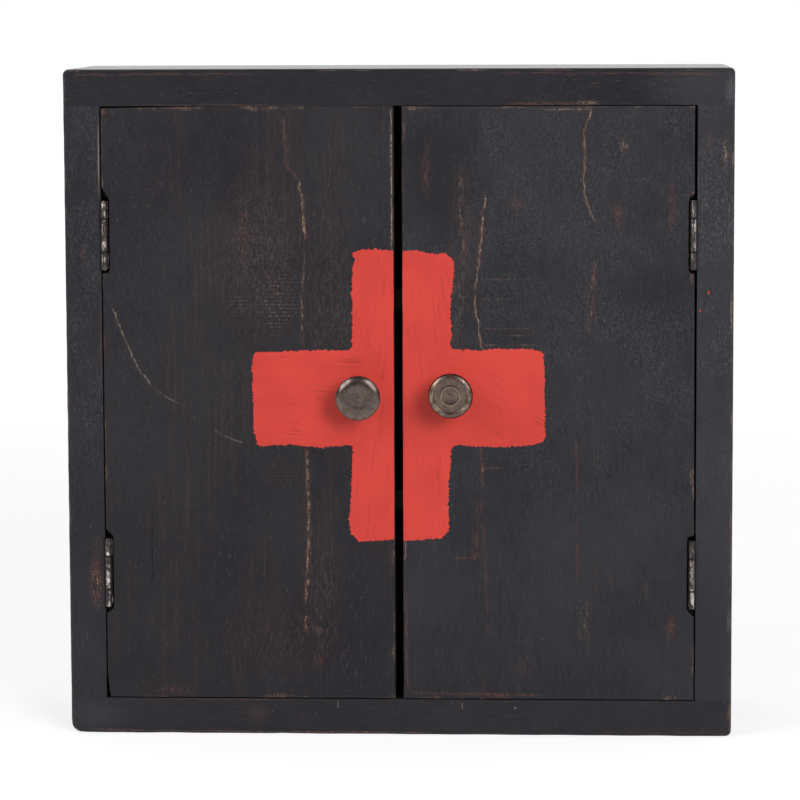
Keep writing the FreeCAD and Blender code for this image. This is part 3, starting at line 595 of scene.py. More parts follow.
@dataclass(frozen=True)
class WornPaint:
    """Thin black paint on wood, with the marks of the brush in it and rubbed through at the edges."""

    dark: Colour
    light: Colour
    brown: float = 0.4
    bristle: float = 0.4
    crackle: float = 0.2
    edge_wear: float = 0.4
    crest: float = 0.3

    def material(
        self,
        name: str,
        grain: Grain,
        low: Sequence[float],
        high: Sequence[float],
        marks: Iterable[Mark] = (),
        shift: float = 0.0,
    ) -> Material:
        """Makes the paint of one board.

        Args:
            name: the material's name.
            grain: the way the grain runs.
            low: lowest corner of the edges that wear.
            high: highest corner of the edges that wear.
            marks: what shows on its front besides.
            shift: moves the grain on, so that boards differ.

        Returns:
            The material.
        """
        s = Shade(name)
        long, short, patchy = (grain.stretch(factor) for factor in (0.03, 0.16, 0.4))
        breakup = Breakup(
            s.noise(1.3, short, 4.0, 0.7, shift + 31),
            s.noise(0.22, (0.35, 0.35, 1.0), 3.0, 0.6, shift + 3),
            s.noise(1.15, short, 3.0, 0.6, shift + 9),
            s.noise(1.15, (1.0, 1.0, 0.75), 2.0, 0.6, shift + 41),
        )
        grit, dash = breakup.grit, breakup.dash
        cloud = s.noise(0.013, detail=3.0, shift=shift)
        mottle = s.noise(0.16, patchy, 4.0, 0.65, shift + 14)
        fibre = s.noise(0.6, long, 4.0, 0.65, shift)
        patch = s.noise(0.028, patchy, 3.0, shift=shift + 50)
        colour = s.mix((cloud * 0.9 + mottle * 0.5 + dash * 0.6).step(0.72, 1.28), self.dark, self.light)
        brown = fibre.step(0.48, 0.68) * patch.step(0.48, 0.66) * grit.step(0.38, 0.62) * self.brown
        colour = s.mix(brown, colour, BROWN)
        bristle = dash.step(0.56, 0.7) * patch.step(0.58, 0.38) * grit.step(0.42, 0.6) * self.bristle
        # Light flecks along thin crackle lines, which the bump also raises: the crackle is the paint's own, its light
        # colour partly painted glints on it.
        wrinkle = (s.noise(0.52, (1.0, 1.0, 0.7), 2.0, 0.6, shift + 77, twist=0.6) - 0.5).size()
        crackle_and_glint = wrinkle.step(0.045, 0.01) * s.noise(0.03, shift=shift + 61).step(0.3, 0.64)
        upper = s.xyz[2].step(100.0, 230.0) * 0.85 + 0.15
        crackle_and_glint = crackle_and_glint * grit.step(0.36, 0.58) * upper * self.crackle
        colour = s.mix(bristle.high(crackle_and_glint), colour, LIGHT_GREY)
        colour = s.mix(s.specks(0.11, 0.032, 0.13) * 0.4, colour, PALE_WOOD)
        rim = s.edge(low, high)
        lasting = s.noise(0.035, shift=shift + 5, detail=4.0, rough=0.6)
        gone = rim.step(self.crest + 0.75, self.crest + 0.1) * lasting.step(0.47, 0.62) * grit.step(0.34, 0.56)
        gone = gone.high((rim + (0.58 - lasting) * 16.0).step(1.2, 0.4) * grit.step(0.4, 0.6)) * self.edge_wear
        colour = s.mix(gone, colour, s.mix(mottle.step(0.42, 0.56), RED_BROWN, BARE_WOOD))
        front = s.xyz[1].step(FRONT_Y + 3.0, FRONT_Y + 1.0)
        scored = gone
        for mark in marks:
            for mask, tint in mark.layers(s, breakup):
                shown = mask * front * mark.strength
                colour = s.mix(shown, colour, tint)
                scored = scored + shown * 0.6
        height = fibre * 0.4 + dash * 0.6 + bristle * 0.4 + crackle_and_glint * 1.6 - scored * 0.6 + grit * 0.3
        polished = s.xyz[2].step(TOP_Z - 3.0, TOP_Z - 0.5)
        rough = 0.46 + dash * 0.14 + gone * 0.2 - polished * 0.32
        return s.surface(colour, rough, s.bump(height, 0.14, 0.5), specular=0.15)


@dataclass(frozen=True)
class BrushedRed:
    """Red paint laid on by hand: up and down in the bar of the cross, to and fro in its arms."""

    red: Colour = CROSS_RED
    deep: Colour = tone(211, 70, 62)
    thick: Colour = tone(222, 90, 78)
    dry: Colour = tone(100, 30, 30)
    dirty: Colour = tone(128, 40, 38)
    middle: Flat = (1.5, 206.0)
    half_bar: float = 30.0
    smudge: Flat = (-29.0, 227.0)
    smudge_half: Flat = (12.0, 5.5)

    def material(self, name: str, side: Side) -> Material:
        """Makes the paint on one door.

        Args:
            name: the material's name.
            side: the door, because the arm on the right was brushed at a slant.

        Returns:
            The material.
        """
        s = Shade(name)
        x, _, z = s.xyz
        slant = 0.5 if side is Side.RIGHT else 0.06
        up = s.noise(1.6, (1.0, 0.2, 0.03), 4.0, 0.65, 3.0, turn=-0.12 * side.value)
        over = s.noise(1.9, (0.018, 0.2, 1.0), 4.0, 0.65, 7.0, turn=slant)
        arm = (x - self.middle[0]).size().step(self.half_bar - 4.0, self.half_bar + 3.0)
        arm = arm * (z - self.middle[1]).size().step(self.half_bar + 2.0, self.half_bar - 2.0)
        brush = up + (over - up) * arm
        cloud = s.noise(0.035, detail=3.0, shift=13.0)
        colour = s.mix(cloud.step(0.35, 0.65), self.deep, self.red)
        colour = s.mix(brush.step(0.42, 0.3) * 0.4, colour, self.thick)
        thinned = s.noise(0.045, detail=3.0, rough=0.6, shift=21.0).step(0.44, 0.58)
        grit = s.noise(1.5, (1.0, 1.0, 0.5), 3.0, 0.6, 17.0)
        dry = brush.step(0.565, 0.64) * (thinned * 0.85 + 0.15) * grit.step(0.34, 0.54)
        colour = s.mix(dry * (0.4 + arm * 0.35), colour, self.dry)
        rubbed = s.away(self.smudge, self.smudge_half).step(1.0, 0.1) * over.step(0.42, 0.56)
        colour = s.mix(rubbed * 0.5, colour, self.dirty)
        normal = s.bump(brush * 0.85 + grit * 0.15, 0.2, 0.6)
        return s.surface(colour, 0.42 + brush * 0.16, normal, specular=0.22)


@dataclass(frozen=True)
class AgedBrass:
    """Old turned brass gone grey-brown, rubbed brighter on the rings."""

    dull: Colour = tone(97, 83, 77)
    warm: Colour = tone(112, 96, 85)
    rubbed: Colour = tone(144, 124, 106)
    stain: Colour = tone(54, 45, 40)
    nick: Colour = tone(170, 152, 134)
    ring: float = 0.0

    def material(self, name: str, middle: Flat, shift: float) -> Material:
        """Makes the finish of one knob.

        Args:
            name: the material's name.
            middle: X and Z of the knob's axis.
            shift: moves the stains on, so that the knobs differ.

        Returns:
            The material.
        """
        s = Shade(name)
        out = s.away(middle, (1.0, 1.0))
        cloud = s.noise(0.22, detail=4.0, rough=0.6, shift=shift)
        fine = s.noise(1.4, detail=4.0, rough=0.7, shift=shift + 3)
        turned = (out * 9.0 + cloud * 5.0).wave() * 0.5 + 0.5
        colour = s.mix(cloud.step(0.38, 0.64), self.dull, self.warm)
        colour = s.mix(fine.step(0.5, 0.68) * 0.6, colour, self.stain)
        rim = out.step(9.6, 11.0) * cloud.step(0.4, 0.58)
        colour = s.mix(rim * 0.7, colour, self.rubbed)
        if self.ring:
            worn = (out - self.ring).size().step(0.5, 0.2) * fine.step(0.34, 0.48)
            colour = s.mix(worn * 0.8, colour, self.rubbed)
        # A darker ring at the very edge of the face, where it rounds over into the rim: painted shade.
        colour = s.mix(out.step(12.3, 13.0) * 0.6, colour, self.stain)
        nicks = s.specks(0.5, 0.16, 0.35)
        colour = s.mix(nicks * 0.45, colour, self.nick)
        height = turned * 0.12 + fine * 0.5 + cloud * 0.3 - nicks * 0.4
        return s.surface(colour, 0.17 + fine * 0.2 - rim * 0.04, s.bump(height, 0.07, 0.5), 0.95)


@dataclass(frozen=True)
class RubbedSteel:
    """Steel under a dark skin of rust and paint, rubbed bright in spots."""

    skin: Colour
    bright: Colour
    amount: float = 0.5
    rough: float = 0.42
    rust: float = 0.4
    barrels: bool = False

    def material(self, name: str, shift: float = 0.0) -> Material:
        """Makes the finish.

        Args:
            name: the material's name.
            shift: moves the pattern on.

        Returns:
            The material.
        """
        s = Shade(name)
        blot = s.noise(0.5, (1.0, 1.0, 0.4), 4.0, 0.65, shift)
        fine = s.noise(2.4, (1.0, 1.0, 0.5), 3.0, 0.6, shift + 7)
        edge = 0.5 - 0.24 * (self.amount - 0.5)
        shine = (blot * 0.75 + fine * 0.25).step(edge - 0.03, edge + 0.06)
        red = s.noise(0.3, detail=4.0, rough=0.7, shift=shift + 41).step(0.52, 0.66) * self.rust
        joint = None
        if self.barrels:
            rise = ((s.xyz[2] - HINGE_LEVEL).size() - HINGE_RISE).size()
            joint = (rise - KNUCKLE_HALF).size().step(0.8, 0.3)
            # The bright spots show only on the front-most band of a barrel and behind the front of the door, so the
            # barrel's sides stay dark: a painted highlight down the barrel's middle and painted shade on its sides.
            y = s.xyz[1]
            barrel_highlight_mask = y.step(FRONT_Y - 2.1, FRONT_Y - 2.6).high(y.step(FRONT_Y, FRONT_Y + 1.0))
            shine = shine * barrel_highlight_mask * (1.0 - joint)
        colour = s.mix(shine, self.skin, self.bright)
        colour = s.mix(red * (1.0 - shine * 0.7), colour, RUST)
        if joint is not None:
            colour = s.mix(joint * 0.8, colour, SHADOW)
        rough, metal = self.rough + fine * 0.2 + red * 0.2, 0.45 + shine * 0.5 - red * 0.3
        return s.surface(colour, rough, s.bump(blot * 0.6 + fine * 0.4, 0.1, 0.6), metal)


@dataclass(frozen=True)
class StainedWood:
    """Bare wood with a dark stain, open grain and a few knots."""

    pale: Colour
    deep: Colour
    rings: float = 0.16

    def material(self, name: str, grain: Grain, shift: float) -> Material:
        """Makes the wood of one board.

        Args:
            name: the material's name.
            grain: the way the grain runs.
            shift: moves the grain on, so that boards differ.

        Returns:
            The material.
        """
        s = Shade(name)
        fibre, broad = grain.stretch(0.025), grain.stretch(0.09)
        sweep = s.noise(0.024, broad, 1.0, 0.4, shift)
        ring = (sweep * (600.0 * self.rings) + s.xyz[2 - grain.value] * 0.05).wave() * 0.5 + 0.5
        pore = s.noise(1.5, fibre, 4.0, 0.65, shift + 5)
        colour = s.mix(ring * 0.45 + pore.step(0.3, 0.7) * 0.55, self.deep, self.pale)
        colour = s.mix(pore.step(0.56, 0.7) * 0.7, colour, tuple(0.45 * c for c in self.deep))
        scuff = s.noise(0.3, broad, 4.0, 0.7, shift + 15).step(0.6, 0.72)
        colour = s.mix(scuff * 0.3, colour, tuple(1.9 * c for c in self.pale))
        normal = s.bump(pore * 0.7 + ring * 0.3, 0.12, 0.5)
        return s.surface(colour, 0.55 + pore * 0.2, normal, specular=0.35)


@dataclass(frozen=True)
class Moulded:
    """A moulded or sintered block with a fine even texture."""

    colour: Colour
    rough: float

    def material(self, name: str) -> Material:
        """Makes the finish.

        Args:
            name: the material's name.

        Returns:
            The material.
        """
        s = Shade(name)
        fine = s.noise(3.0, detail=4.0, rough=0.6)
        cloud = s.noise(0.15, detail=3.0, shift=19.0)
        colour = s.mix(cloud.step(0.35, 0.65), tuple(0.75 * c for c in self.colour), self.colour)
        colour = s.mix(s.specks(0.6, 0.14, 0.2) * 0.4, colour, tuple(1.8 * c for c in self.colour))
        return s.surface(colour, self.rough + fine * 0.15, s.bump(fine, 0.05, 0.5))


def mesh_from(name: str, points: np.ndarray, faces: Iterable[Sequence[int]]) -> Mesh:
    """Makes a mesh in metres from points in millimetres.

    Args:
        name: the mesh's name.
        points: its points, in millimetres.
        faces: the points of each face.

    Returns:
        The mesh.
    """
    mesh = bpy.data.meshes.new(name)
    mesh.from_pydata((np.asarray(points) * MM).tolist(), [], [list(face) for face in faces])
    mesh.update()
    return mesh


def closed(name: str, points: np.ndarray, faces: Iterable[Sequence[int]]) -> Mesh:
    """Makes a closed mesh, with its faces turned outwards.

    Args:
        name: the mesh's name.
        points: its points, in millimetres.
        faces: the points of each face.

    Returns:
        The mesh.
    """
    mesh = mesh_from(name, points, faces)
    work = bmesh.new()
    work.from_mesh(mesh)
    bmesh.ops.recalc_face_normals(work, faces=work.faces)
    work.to_mesh(mesh)
    work.free()
    return mesh


def welded(node: str) -> bmesh.types.BMesh:
    """A copy of a solid to work on, with its doubled points made one.

    Args:
        node: the solid.

    Returns:
        The copy, which has to be freed.
    """
    work = bmesh.new()
    work.from_mesh(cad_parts[node].data)
    bmesh.ops.remove_doubles(work, verts=work.verts, dist=WELD * MM)
    return work


def linked(name: str, data: bpy.types.ID) -> Object:
    """Puts a mesh, a lamp or a camera into the scene, at the origin.

    Args:
        name: the object's name.
        data: what it shows.

    Returns:
        The object.
    """
    made = bpy.data.objects.new(name, data)
    bpy.context.scene.collection.objects.link(made)
    return made


def settle(made: Object) -> None:
    """Turns an object with modifiers into a plain mesh.

    Args:
        made: the object.
    """
    graph = bpy.context.evaluated_depsgraph_get()
    mesh = bpy.data.meshes.new_from_object(made.evaluated_get(graph))
    old = made.data
    made.modifiers.clear()
    made.data = mesh
    bpy.data.meshes.remove(old)


def carve(made: Object, cutters: Iterable[Mesh]) -> None:
    """Cuts closed meshes out of an object, one after another.

    Args:
        made: the object.
        cutters: what is cut out, used up by it.
    """
    tools = []
    for cutter in cutters:
        tools.append(linked("cutter", cutter))
        cut = made.modifiers.new("cut", "BOOLEAN")
        cut.operation, cut.solver, cut.object = "DIFFERENCE", "EXACT", tools[-1]
    settle(made)
    for tool in tools:
        bpy.data.meshes.remove(tool.data)


def oblong(left: float, right: float, foot: float, top: float) -> list[Flat]:
    """The corners of an upright oblong in X and Z."""
    return [(left, foot), (right, foot), (right, top), (left, top)]


def prism(outline: Sequence[Flat], front: float, rear: float) -> Mesh:
    """A closed block with an outline in X and Z, from a front to a rear Y.

    Args:
        outline: its corners in X and Z.
        front: Y of its front.
        rear: Y of its rear.

    Returns:
        The mesh.
    """
    count = len(outline)
    points = [(x, y, z) for y in (front, rear) for x, z in outline]
    faces = [range(count), range(2 * count - 1, count - 1, -1)]
    faces += [(i, i + count, (i + 1) % count + count, (i + 1) % count) for i in range(count)]
    return closed("prism", np.array(points), faces)


def wedge(line: Sequence[Flat], width: float, depth: float, face: float) -> Mesh:
    """A thin V that follows a line on the front, to cut a split with.

    Args:
        line: its X and Z, from end to end.
        width: how far it gapes at its middle.
        depth: how deep it goes.
        face: Y of the front.

    Returns:
        A closed mesh.
    """
    points, faces = [], []
    last = len(line) - 1
    for i, (x, z) in enumerate(line):
        gape = width * (0.12 + 0.88 * math.sin(math.pi * min(1.0, 0.05 + i / last)))
        points += [(x - gape, face - 0.5, z), (x + gape, face - 0.5, z), (x, face + depth, z)]
    for i in range(last):
        for j in range(3):
            k = (j + 1) % 3
            faces.append((3 * i + j, 3 * i + k, 3 * i + 3 + k, 3 * i + 3 + j))
    faces += [(2, 1, 0), (3 * last, 3 * last + 1, 3 * last + 2)]
    return closed("wedge", np.array(points), faces)


def dress(
    made: Object,
    body: str,
    material: Material,
    nodes: Sequence[str] = (),
    crease: float = 35.0,
) -> None:
    """Finishes a piece and ties it to its body.

    Args:
        made: the object, with its final mesh.
        body: the body it rides on.
        material: its material.
        nodes: solids that it stands for.
        crease: edges sharper than this many degrees stay sharp.
    """
    mesh = made.data
    mesh.materials.clear()
    mesh.materials.append(material)
    mesh.shade_smooth()
    mesh.set_sharp_from_angle(angle=math.radians(crease))
    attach(made, body)
    if nodes:
        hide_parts(*nodes)
    log.info("%s rides on %s, %d faces", made.name, body, len(mesh.polygons))


def eased(node: str, body: str, material: Material, width: float) -> None:
    """Stands for a solid with a copy whose sharp edges are eased.

    Args:
        node: the solid.
        body: the body it rides on.
        material: its material.
        width: how far the edges are eased.
    """
    work = welded(node)
    bmesh.ops.dissolve_limit(work, angle_limit=math.radians(0.5), verts=work.verts, edges=work.edges)
    sharp = [e for e in work.edges if len(e.link_faces) == 2 and e.calc_face_angle() > math.radians(40)]
    shape = {"segments": 2, "profile": 0.6, "affect": "EDGES", "clamp_overlap": True}
    bmesh.ops.bevel(work, geom=sharp, offset=width * MM, **shape)
    mesh = bpy.data.meshes.new(node)
    work.to_mesh(mesh)
    work.free()
    dress(linked(f"{node}_eased", mesh), body, material, [node], 30.0)


def eased_line(points: np.ndarray, reach: float = FAR) -> np.ndarray:
    """Cuts the corners off an open line of points, no further than a reach, and keeps its ends.

    Args:
        points: the line.
        reach: the furthest a corner is cut.

    Returns:
        The line with twice as many corners.
    """
    runs = points[1:] - points[:-1]
    bite = np.minimum(0.25, reach / np.linalg.norm(runs, axis=1))[:, None] * runs
    cut = np.empty((2 * len(runs), 2))
    cut[0::2], cut[1::2] = points[:-1] + bite, points[1:] - bite
    return np.vstack([points[:1], cut, points[-1:]])


def wander(run: np.ndarray, seed: int) -> np.ndarray:
    """A smooth random line, mostly between -1 and 1, along lengths in millimetres.

    Args:
        run: lengths along the line.
        seed: which line it is.

    Returns:
        The line's value at each length.
    """
    draw = np.random.default_rng(seed)
    lengths, starts = draw.uniform(7.0, 70.0, 7), draw.uniform(0.0, math.tau, 7)
    return np.sin(math.tau * run[:, None] / lengths + starts).sum(1) / 3.7


def dips(across: np.ndarray, up: np.ndarray, seed: int) -> np.ndarray:
    """Shallow hollows left by a hand plane, from 0 to 1, over a face in millimetres.

    Args:
        across: places across the face.
        up: places up the face.
        seed: which hollows.

    Returns:
        Their depth.
    """
    draw = np.random.default_rng(seed)
    ways, lengths = draw.uniform(0, math.tau, 8), draw.uniform(40, 150, 8)
    starts = draw.uniform(0, math.tau, 8)
    runs = across[:, None] * np.cos(ways) + up[:, None] * np.sin(ways)
    return 0.5 + 0.5 * np.clip(1.8 * np.sin(math.tau * runs / lengths + starts).mean(1), -1, 1)


@dataclass
class Board:
    """A board with hand-worn edges.

    Its rounds give the radius of each edge by the names of the two faces that meet there, such as -x-y.
    Its limits say how far along an edge is rounded, and its rise how far the top stands up at places along X.
    """

    low: np.ndarray
    high: np.ndarray
    rounds: dict[str, float]
    seed: int
    hollow: float = 0.0
    hollow_seed: int = 0
    step: float = 4.0
    uneven: float = 0.3
    chip: float = 0.8
    lean: float = 0.0
    chip_from: float = 0.6
    chip_every: float = 45.0
    sharp: float = 0.05
    hollow_depth: float = 8.0
    bend: float = 60.0
    limits: dict[str, Flat] = field(default_factory=dict)
    rise: Line = ()

    @classmethod
    def of(cls, node: str, **rest: Any) -> "Board":
        """A board in the place of a solid."""
        low, high = (np.array(corner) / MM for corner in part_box(node))
        return cls(low, high, **rest)

    def ticks(self, axis: int) -> np.ndarray:
        """Grid lines along an axis, close together near both ends.

        Args:
            axis: 0, 1 or 2.

        Returns:
            Places along it, in millimetres.
        """
        low, high = self.low[axis], self.high[axis]
        near = np.array([d for d in NEAR_EDGE if d < (high - low) / 2 - 0.5])
        count = max(2, round((high - low - 2 * near[-1]) / self.step) + 1)
        middle = np.linspace(low + near[-1], high - near[-1], count)
        return np.concatenate([low + near[:-1], middle, high - near[-2::-1]])

    def inward(self, points: np.ndarray, face: tuple[int, int]) -> np.ndarray:
        """How far points lie inside a face."""
        axis, way = face
        return points[:, axis] - self.low[axis] if way < 0 else self.high[axis] - points[:, axis]

    def set_inward(self, points: np.ndarray, where: np.ndarray, face: tuple[int, int], depth: np.ndarray) -> None:
        """Moves some points to a depth inside a face."""
        axis, way = face
        points[where, axis] = self.low[axis] + depth if way < 0 else self.high[axis] - depth

    def worn(self, points: np.ndarray) -> np.ndarray:
        """Takes points of the sharp board to where wear has left them.

        Args:
            points: places on the sharp board, in millimetres.

        Returns:
            The same places on the worn board.
        """
        moved = points.astype(float).copy()
        for number, (edge, radius) in enumerate(self.rounds.items()):
            first, second = FACES[edge[:2]], FACES[edge[2:]]
            along = 3 - first[0] - second[0]
            run = points[:, along]
            seed = 100 * self.seed + number
            round_ = radius * (1.0 + self.uneven * wander(run, seed))
            if radius > self.chip_from:
                draw = np.random.default_rng(seed + 50)
                for _ in range(int((self.high[along] - self.low[along]) / self.chip_every)):
                    at, wide = draw.uniform(self.low[along], self.high[along]), draw.uniform(1.2, 5.0)
                    round_ += self.chip * draw.uniform(0.0, 1.0) ** 2 * np.exp(-(((run - at) / wide) ** 2))
            if edge in self.limits:
                start, end = self.limits[edge]
                round_ = np.where((run > start) & (run < end), round_, self.sharp)
            a = round_ - self.inward(moved, first)
            b = round_ - self.inward(moved, second)
            hit = (a > 0) & (b > 0)
            a, b, round_ = a[hit], b[hit], round_[hit]
            pull = np.maximum(a, b) / np.hypot(a, b)
            self.set_inward(moved, hit, first, round_ - a * pull)
            self.set_inward(moved, hit, second, round_ - b * pull)
        if self.hollow:
            depth = self.inward(moved, FACES["-y"])
            sink = self.hollow * dips(points[:, 0], points[:, 2], self.hollow_seed)
            moved[:, 1] += sink * np.clip(1.0 - depth / self.hollow_depth, 0.0, 1.0)
        if self.lean:
            near = np.clip(1.0 - self.inward(points, FACES["+x"]) / self.bend, 0.0, 1.0)
            moved[:, 0] += self.lean * near * (points[:, 2] - self.low[2]) / (self.high[2] - self.low[2])
        if self.rise:
            near = np.clip(1.0 - self.inward(points, FACES["+z"]) / self.bend, 0.0, 1.0)
            moved[:, 2] += near * np.interp(points[:, 0], *zip(*self.rise))
        return moved

    def mesh(self, name: str) -> Mesh:
        """The board's closed mesh.

        Args:
            name: the mesh's name.

        Returns:
            The mesh.
        """
        lines = [self.ticks(axis) for axis in range(3)]
        counts = [len(line) for line in lines]
        skin = np.zeros(counts, bool)
        for axis in range(3):
            for end in (0, -1):
                skin[tuple(end if a == axis else slice(None) for a in range(3))] = True
        spots = np.argwhere(skin)
        number = np.full(counts, -1)
        number[skin] = np.arange(len(spots))
        points = np.stack([lines[a][spots[:, a]] for a in range(3)], 1)
        faces = []
        for axis in range(3):
            for end in (0, -1):
                sheet = np.take(number, end, axis=axis)
                if axis == 1:
                    sheet = sheet.T
                quads = np.stack([sheet[:-1, :-1], sheet[1:, :-1], sheet[1:, 1:], sheet[:-1, 1:]], -1)
                quads = quads.reshape(-1, 4)
                faces += (quads if end else quads[:, ::-1]).tolist()
        return mesh_from(name, self.worn(points), faces)

    def edges(self, *joined: str) -> tuple[np.ndarray, np.ndarray]:
        """Corners of the box whose edges wear, with the faces that are joined to others set far off.

        Args:
            joined: the names of those faces.

        Returns:
            The lowest and the highest corner.
        """
        box = (self.low.copy(), self.high.copy())
        for axis, way in (FACES[face] for face in joined):
            box[way > 0][axis] = way * FAR
        return box

    def finish(self, node: str, body: str, slot: str, material: Material, cutters: Sequence[Mesh] = ()) -> None:
        """Makes the board, cuts it and ties it to its body.

        Args:
            node: the solid it stands for.
            body: the body it rides on.
            slot: the name of its finish; not used.
            material: its material.
            cutters: closed meshes that are cut out of it.
        """
        made = linked(f"{node}_worn", self.mesh(node))
        if cutters:
            carve(made, cutters)
        dress(made, body, material, [node])


# The right side board's paint is lighter than the others, for the light that falls on that side: painted light. The
# top board's is darker, to offset the light it catches from above: painted shade.
BOARD_PAINTS = {
    "top_board": WornPaint(tone(31, 30, 35), tone(41, 40, 44), 0.2, 0.12, 0.1, 0.35, 1.05),
    "bottom_board": WornPaint(tone(39, 38, 42), tone(49, 47, 51), 0.2, 0.15, 0.1, 0.35, 1.05),
    "left_side_board": WornPaint(tone(38, 37, 41), tone(47, 46, 50), 0.3, 0.22, 0.32, 0.35, 1.05),
    "right_side_board": WornPaint(tone(49, 48, 52), tone(60, 59, 63), 0.2, 0.3, 0.5, 0.35, 1.05),
}
# The right door's paint is a little lighter than the left's, partly for the light that comes from the right: painted
# light.
DOOR_PAINTS = {
    Side.LEFT: WornPaint(tone(37, 35, 39), tone(48, 46, 49), 0.32, 0.22, 0.1, 0.25, 0.3),
    Side.RIGHT: WornPaint(tone(40, 39, 43), tone(52, 51, 55), 0.25, 0.14, 0.3, 0.25, 0.3),
}


@dataclass
class Carcass:
    """The four outer boards, the back, the shelves and the cleats they rest on."""

    edge: float = 3.5
    mouth: float = 0.3
    rear: float = 1.0
    joint: float = 0.1
    hollow: float = 0.2
    uneven: float = 0.17
    chip: float = 0.55
    worn_corner: float = 7.5
    rabbet_x: float = 184.0
    inner_x: float = 178.0
    rabbet_y: float = 54.0
    rabbet: float = 6.0
    hanger: Place = (192.0, 58.5, 340.0)
    plate_half: Flat = (5.5, 23.0)
    pocket_half: Flat = (4.35, 9.35)
    pocket_y: float = 50.5
    past: float = 1.0
    lap_top: float = 410.0
    wood: StainedWood = StainedWood(tone(106, 79, 60), tone(62, 45, 35))
    ply: StainedWood = StainedWood(tone(126, 96, 72), tone(84, 61, 45), rings=0.1)

    def outer(self, node: str, rounds: dict[str, float], seed: int) -> Board:
        """One of the four outer boards, before it is made."""
        wear = {"hollow": self.hollow, "hollow_seed": seed, "uneven": self.uneven, "chip": self.chip}
        return Board.of(node, rounds=rounds, seed=seed, **wear)

    def paint(self, board: Board, node: str, grain: Grain, *joined: str) -> Material:
        """The paint of an outer board, which wears at all edges but those of its joined faces."""
        low, high = board.edges(*joined)
        return BOARD_PAINTS[node].material(f"{node}_paint", grain, low, high, BOARD_MARKS[node], 7.0 * board.seed)

    def level_board(self, node: str, level: str, other: str, seed: int) -> None:
        """Makes the top or the bottom board.

        Args:
            node: the solid it stands for.
            level: its outer face.
            other: its inner face.
            seed: its own wear.
        """
        rounds = {f"-y{level}": self.edge, f"-y{other}": self.mouth, f"+y{level}": self.rear}
        for side in Side:
            low_left = side is Side.LEFT and level == "-z"
            rounds[f"{side.outer}{level}"] = self.worn_corner if low_left else self.edge
            rounds[f"{side.outer}-y"] = self.edge
            rounds[f"{side.outer}+y"] = self.rear
            rounds[f"{side.outer}{other}"] = self.joint
        board = self.outer(node, rounds, seed)
        board.limits[f"-y{other}"] = (-self.inner_x, self.inner_x)
        way = FACES[other][1]
        inner = (board.high if way > 0 else board.low)[2]
        outline = oblong(-self.rabbet_x, self.rabbet_x, inner + way * self.past, inner - way * self.rabbet)
        cutter = prism(outline, self.rabbet_y, board.high[1] + self.past)
        board.finish(node, CABINET, "carcass_wood", self.paint(board, node, Grain.ACROSS, other), [cutter])

    def side_board(self, side: Side, seed: int) -> None:
        """Makes a side board, with its rabbet and the room behind its hanger.

        Args:
            side: which side.
            seed: its own wear.
        """
        node = f"{side.word}_side_board"
        rounds = {f"{side.outer}-y": self.edge, f"{side.inner}-y": self.mouth, f"{side.outer}+y": self.rear}
        rounds |= dict.fromkeys(("-y-z", "-y+z", f"{side.outer}-z", f"{side.outer}+z"), self.joint)
        board = self.outer(node, rounds, seed)
        way, (x, y, z) = side.value, self.hanger
        middle, rear = way * x, board.high[1] + self.past
        lap = oblong(way * (self.inner_x - self.past), way * self.rabbet_x, 0, self.lap_top)
        wide, tall = self.pocket_half
        pocket = oblong(middle - wide, middle + wide, z - tall, z + tall)
        wide, tall = self.plate_half
        turns = [(end, t) for end in (1, -1) for t in np.linspace(0, math.pi, 17)]
        plate = [
            (middle + end * wide * math.cos(t), z + end * (tall - wide) + end * wide * math.sin(t)) for end, t in turns
        ]
        cutters = [prism(lap, self.rabbet_y, rear), prism(plate, y, rear), prism(pocket, self.pocket_y, y + 0.5)]
        paint = self.paint(board, node, Grain.UP, "-z", "+z", side.inner)
        board.finish(node, CABINET, "carcass_wood", paint, cutters)

    def inside(self) -> None:
        """Makes the shelves, their cleats and the back."""
        for number, level in enumerate(("lower", "upper")):
            node = f"{level}_shelf"
            board = Board.of(node, rounds={"-y-z": 1.0, "-y+z": 1.2, "+y+z": 0.4}, seed=40 + number, step=8.0)
            wood = self.wood.material(f"{node}_wood", Grain.ACROSS, 30.0 + 9 * number)
            board.finish(node, CABINET, "inside_wood", wood)
            for side in Side:
                node = f"{level}_{side.word}_cleat"
                rounds = {f"{side.inner}-z": 1.0, f"{side.inner}-y": 1.0, "-y-z": 0.6}
                board = Board.of(node, rounds=rounds, seed=50 + number, step=6.0)
                wood = self.wood.material(f"{node}_wood", Grain.ACROSS, 60.0 + 5 * number)
                board.finish(node, CABINET, "inside_wood", wood)
        rounds = dict.fromkeys(("-x+y", "+x+y", "+y-z", "+y+z"), 0.5)
        board = Board.of("back_panel", rounds=rounds, seed=60, step=12.0)
        board.finish("back_panel", CABINET, "back_plywood", self.ply.material("back_ply", Grain.UP, 80.0))

    def build(self) -> None:
        """Makes every board of the carcass."""
        self.level_board("top_board", "+z", "-z", 3)
        self.level_board("bottom_board", "-z", "+z", 5)
        for seed, side in enumerate(Side, 11):
            self.side_board(side, seed)
        self.inside()


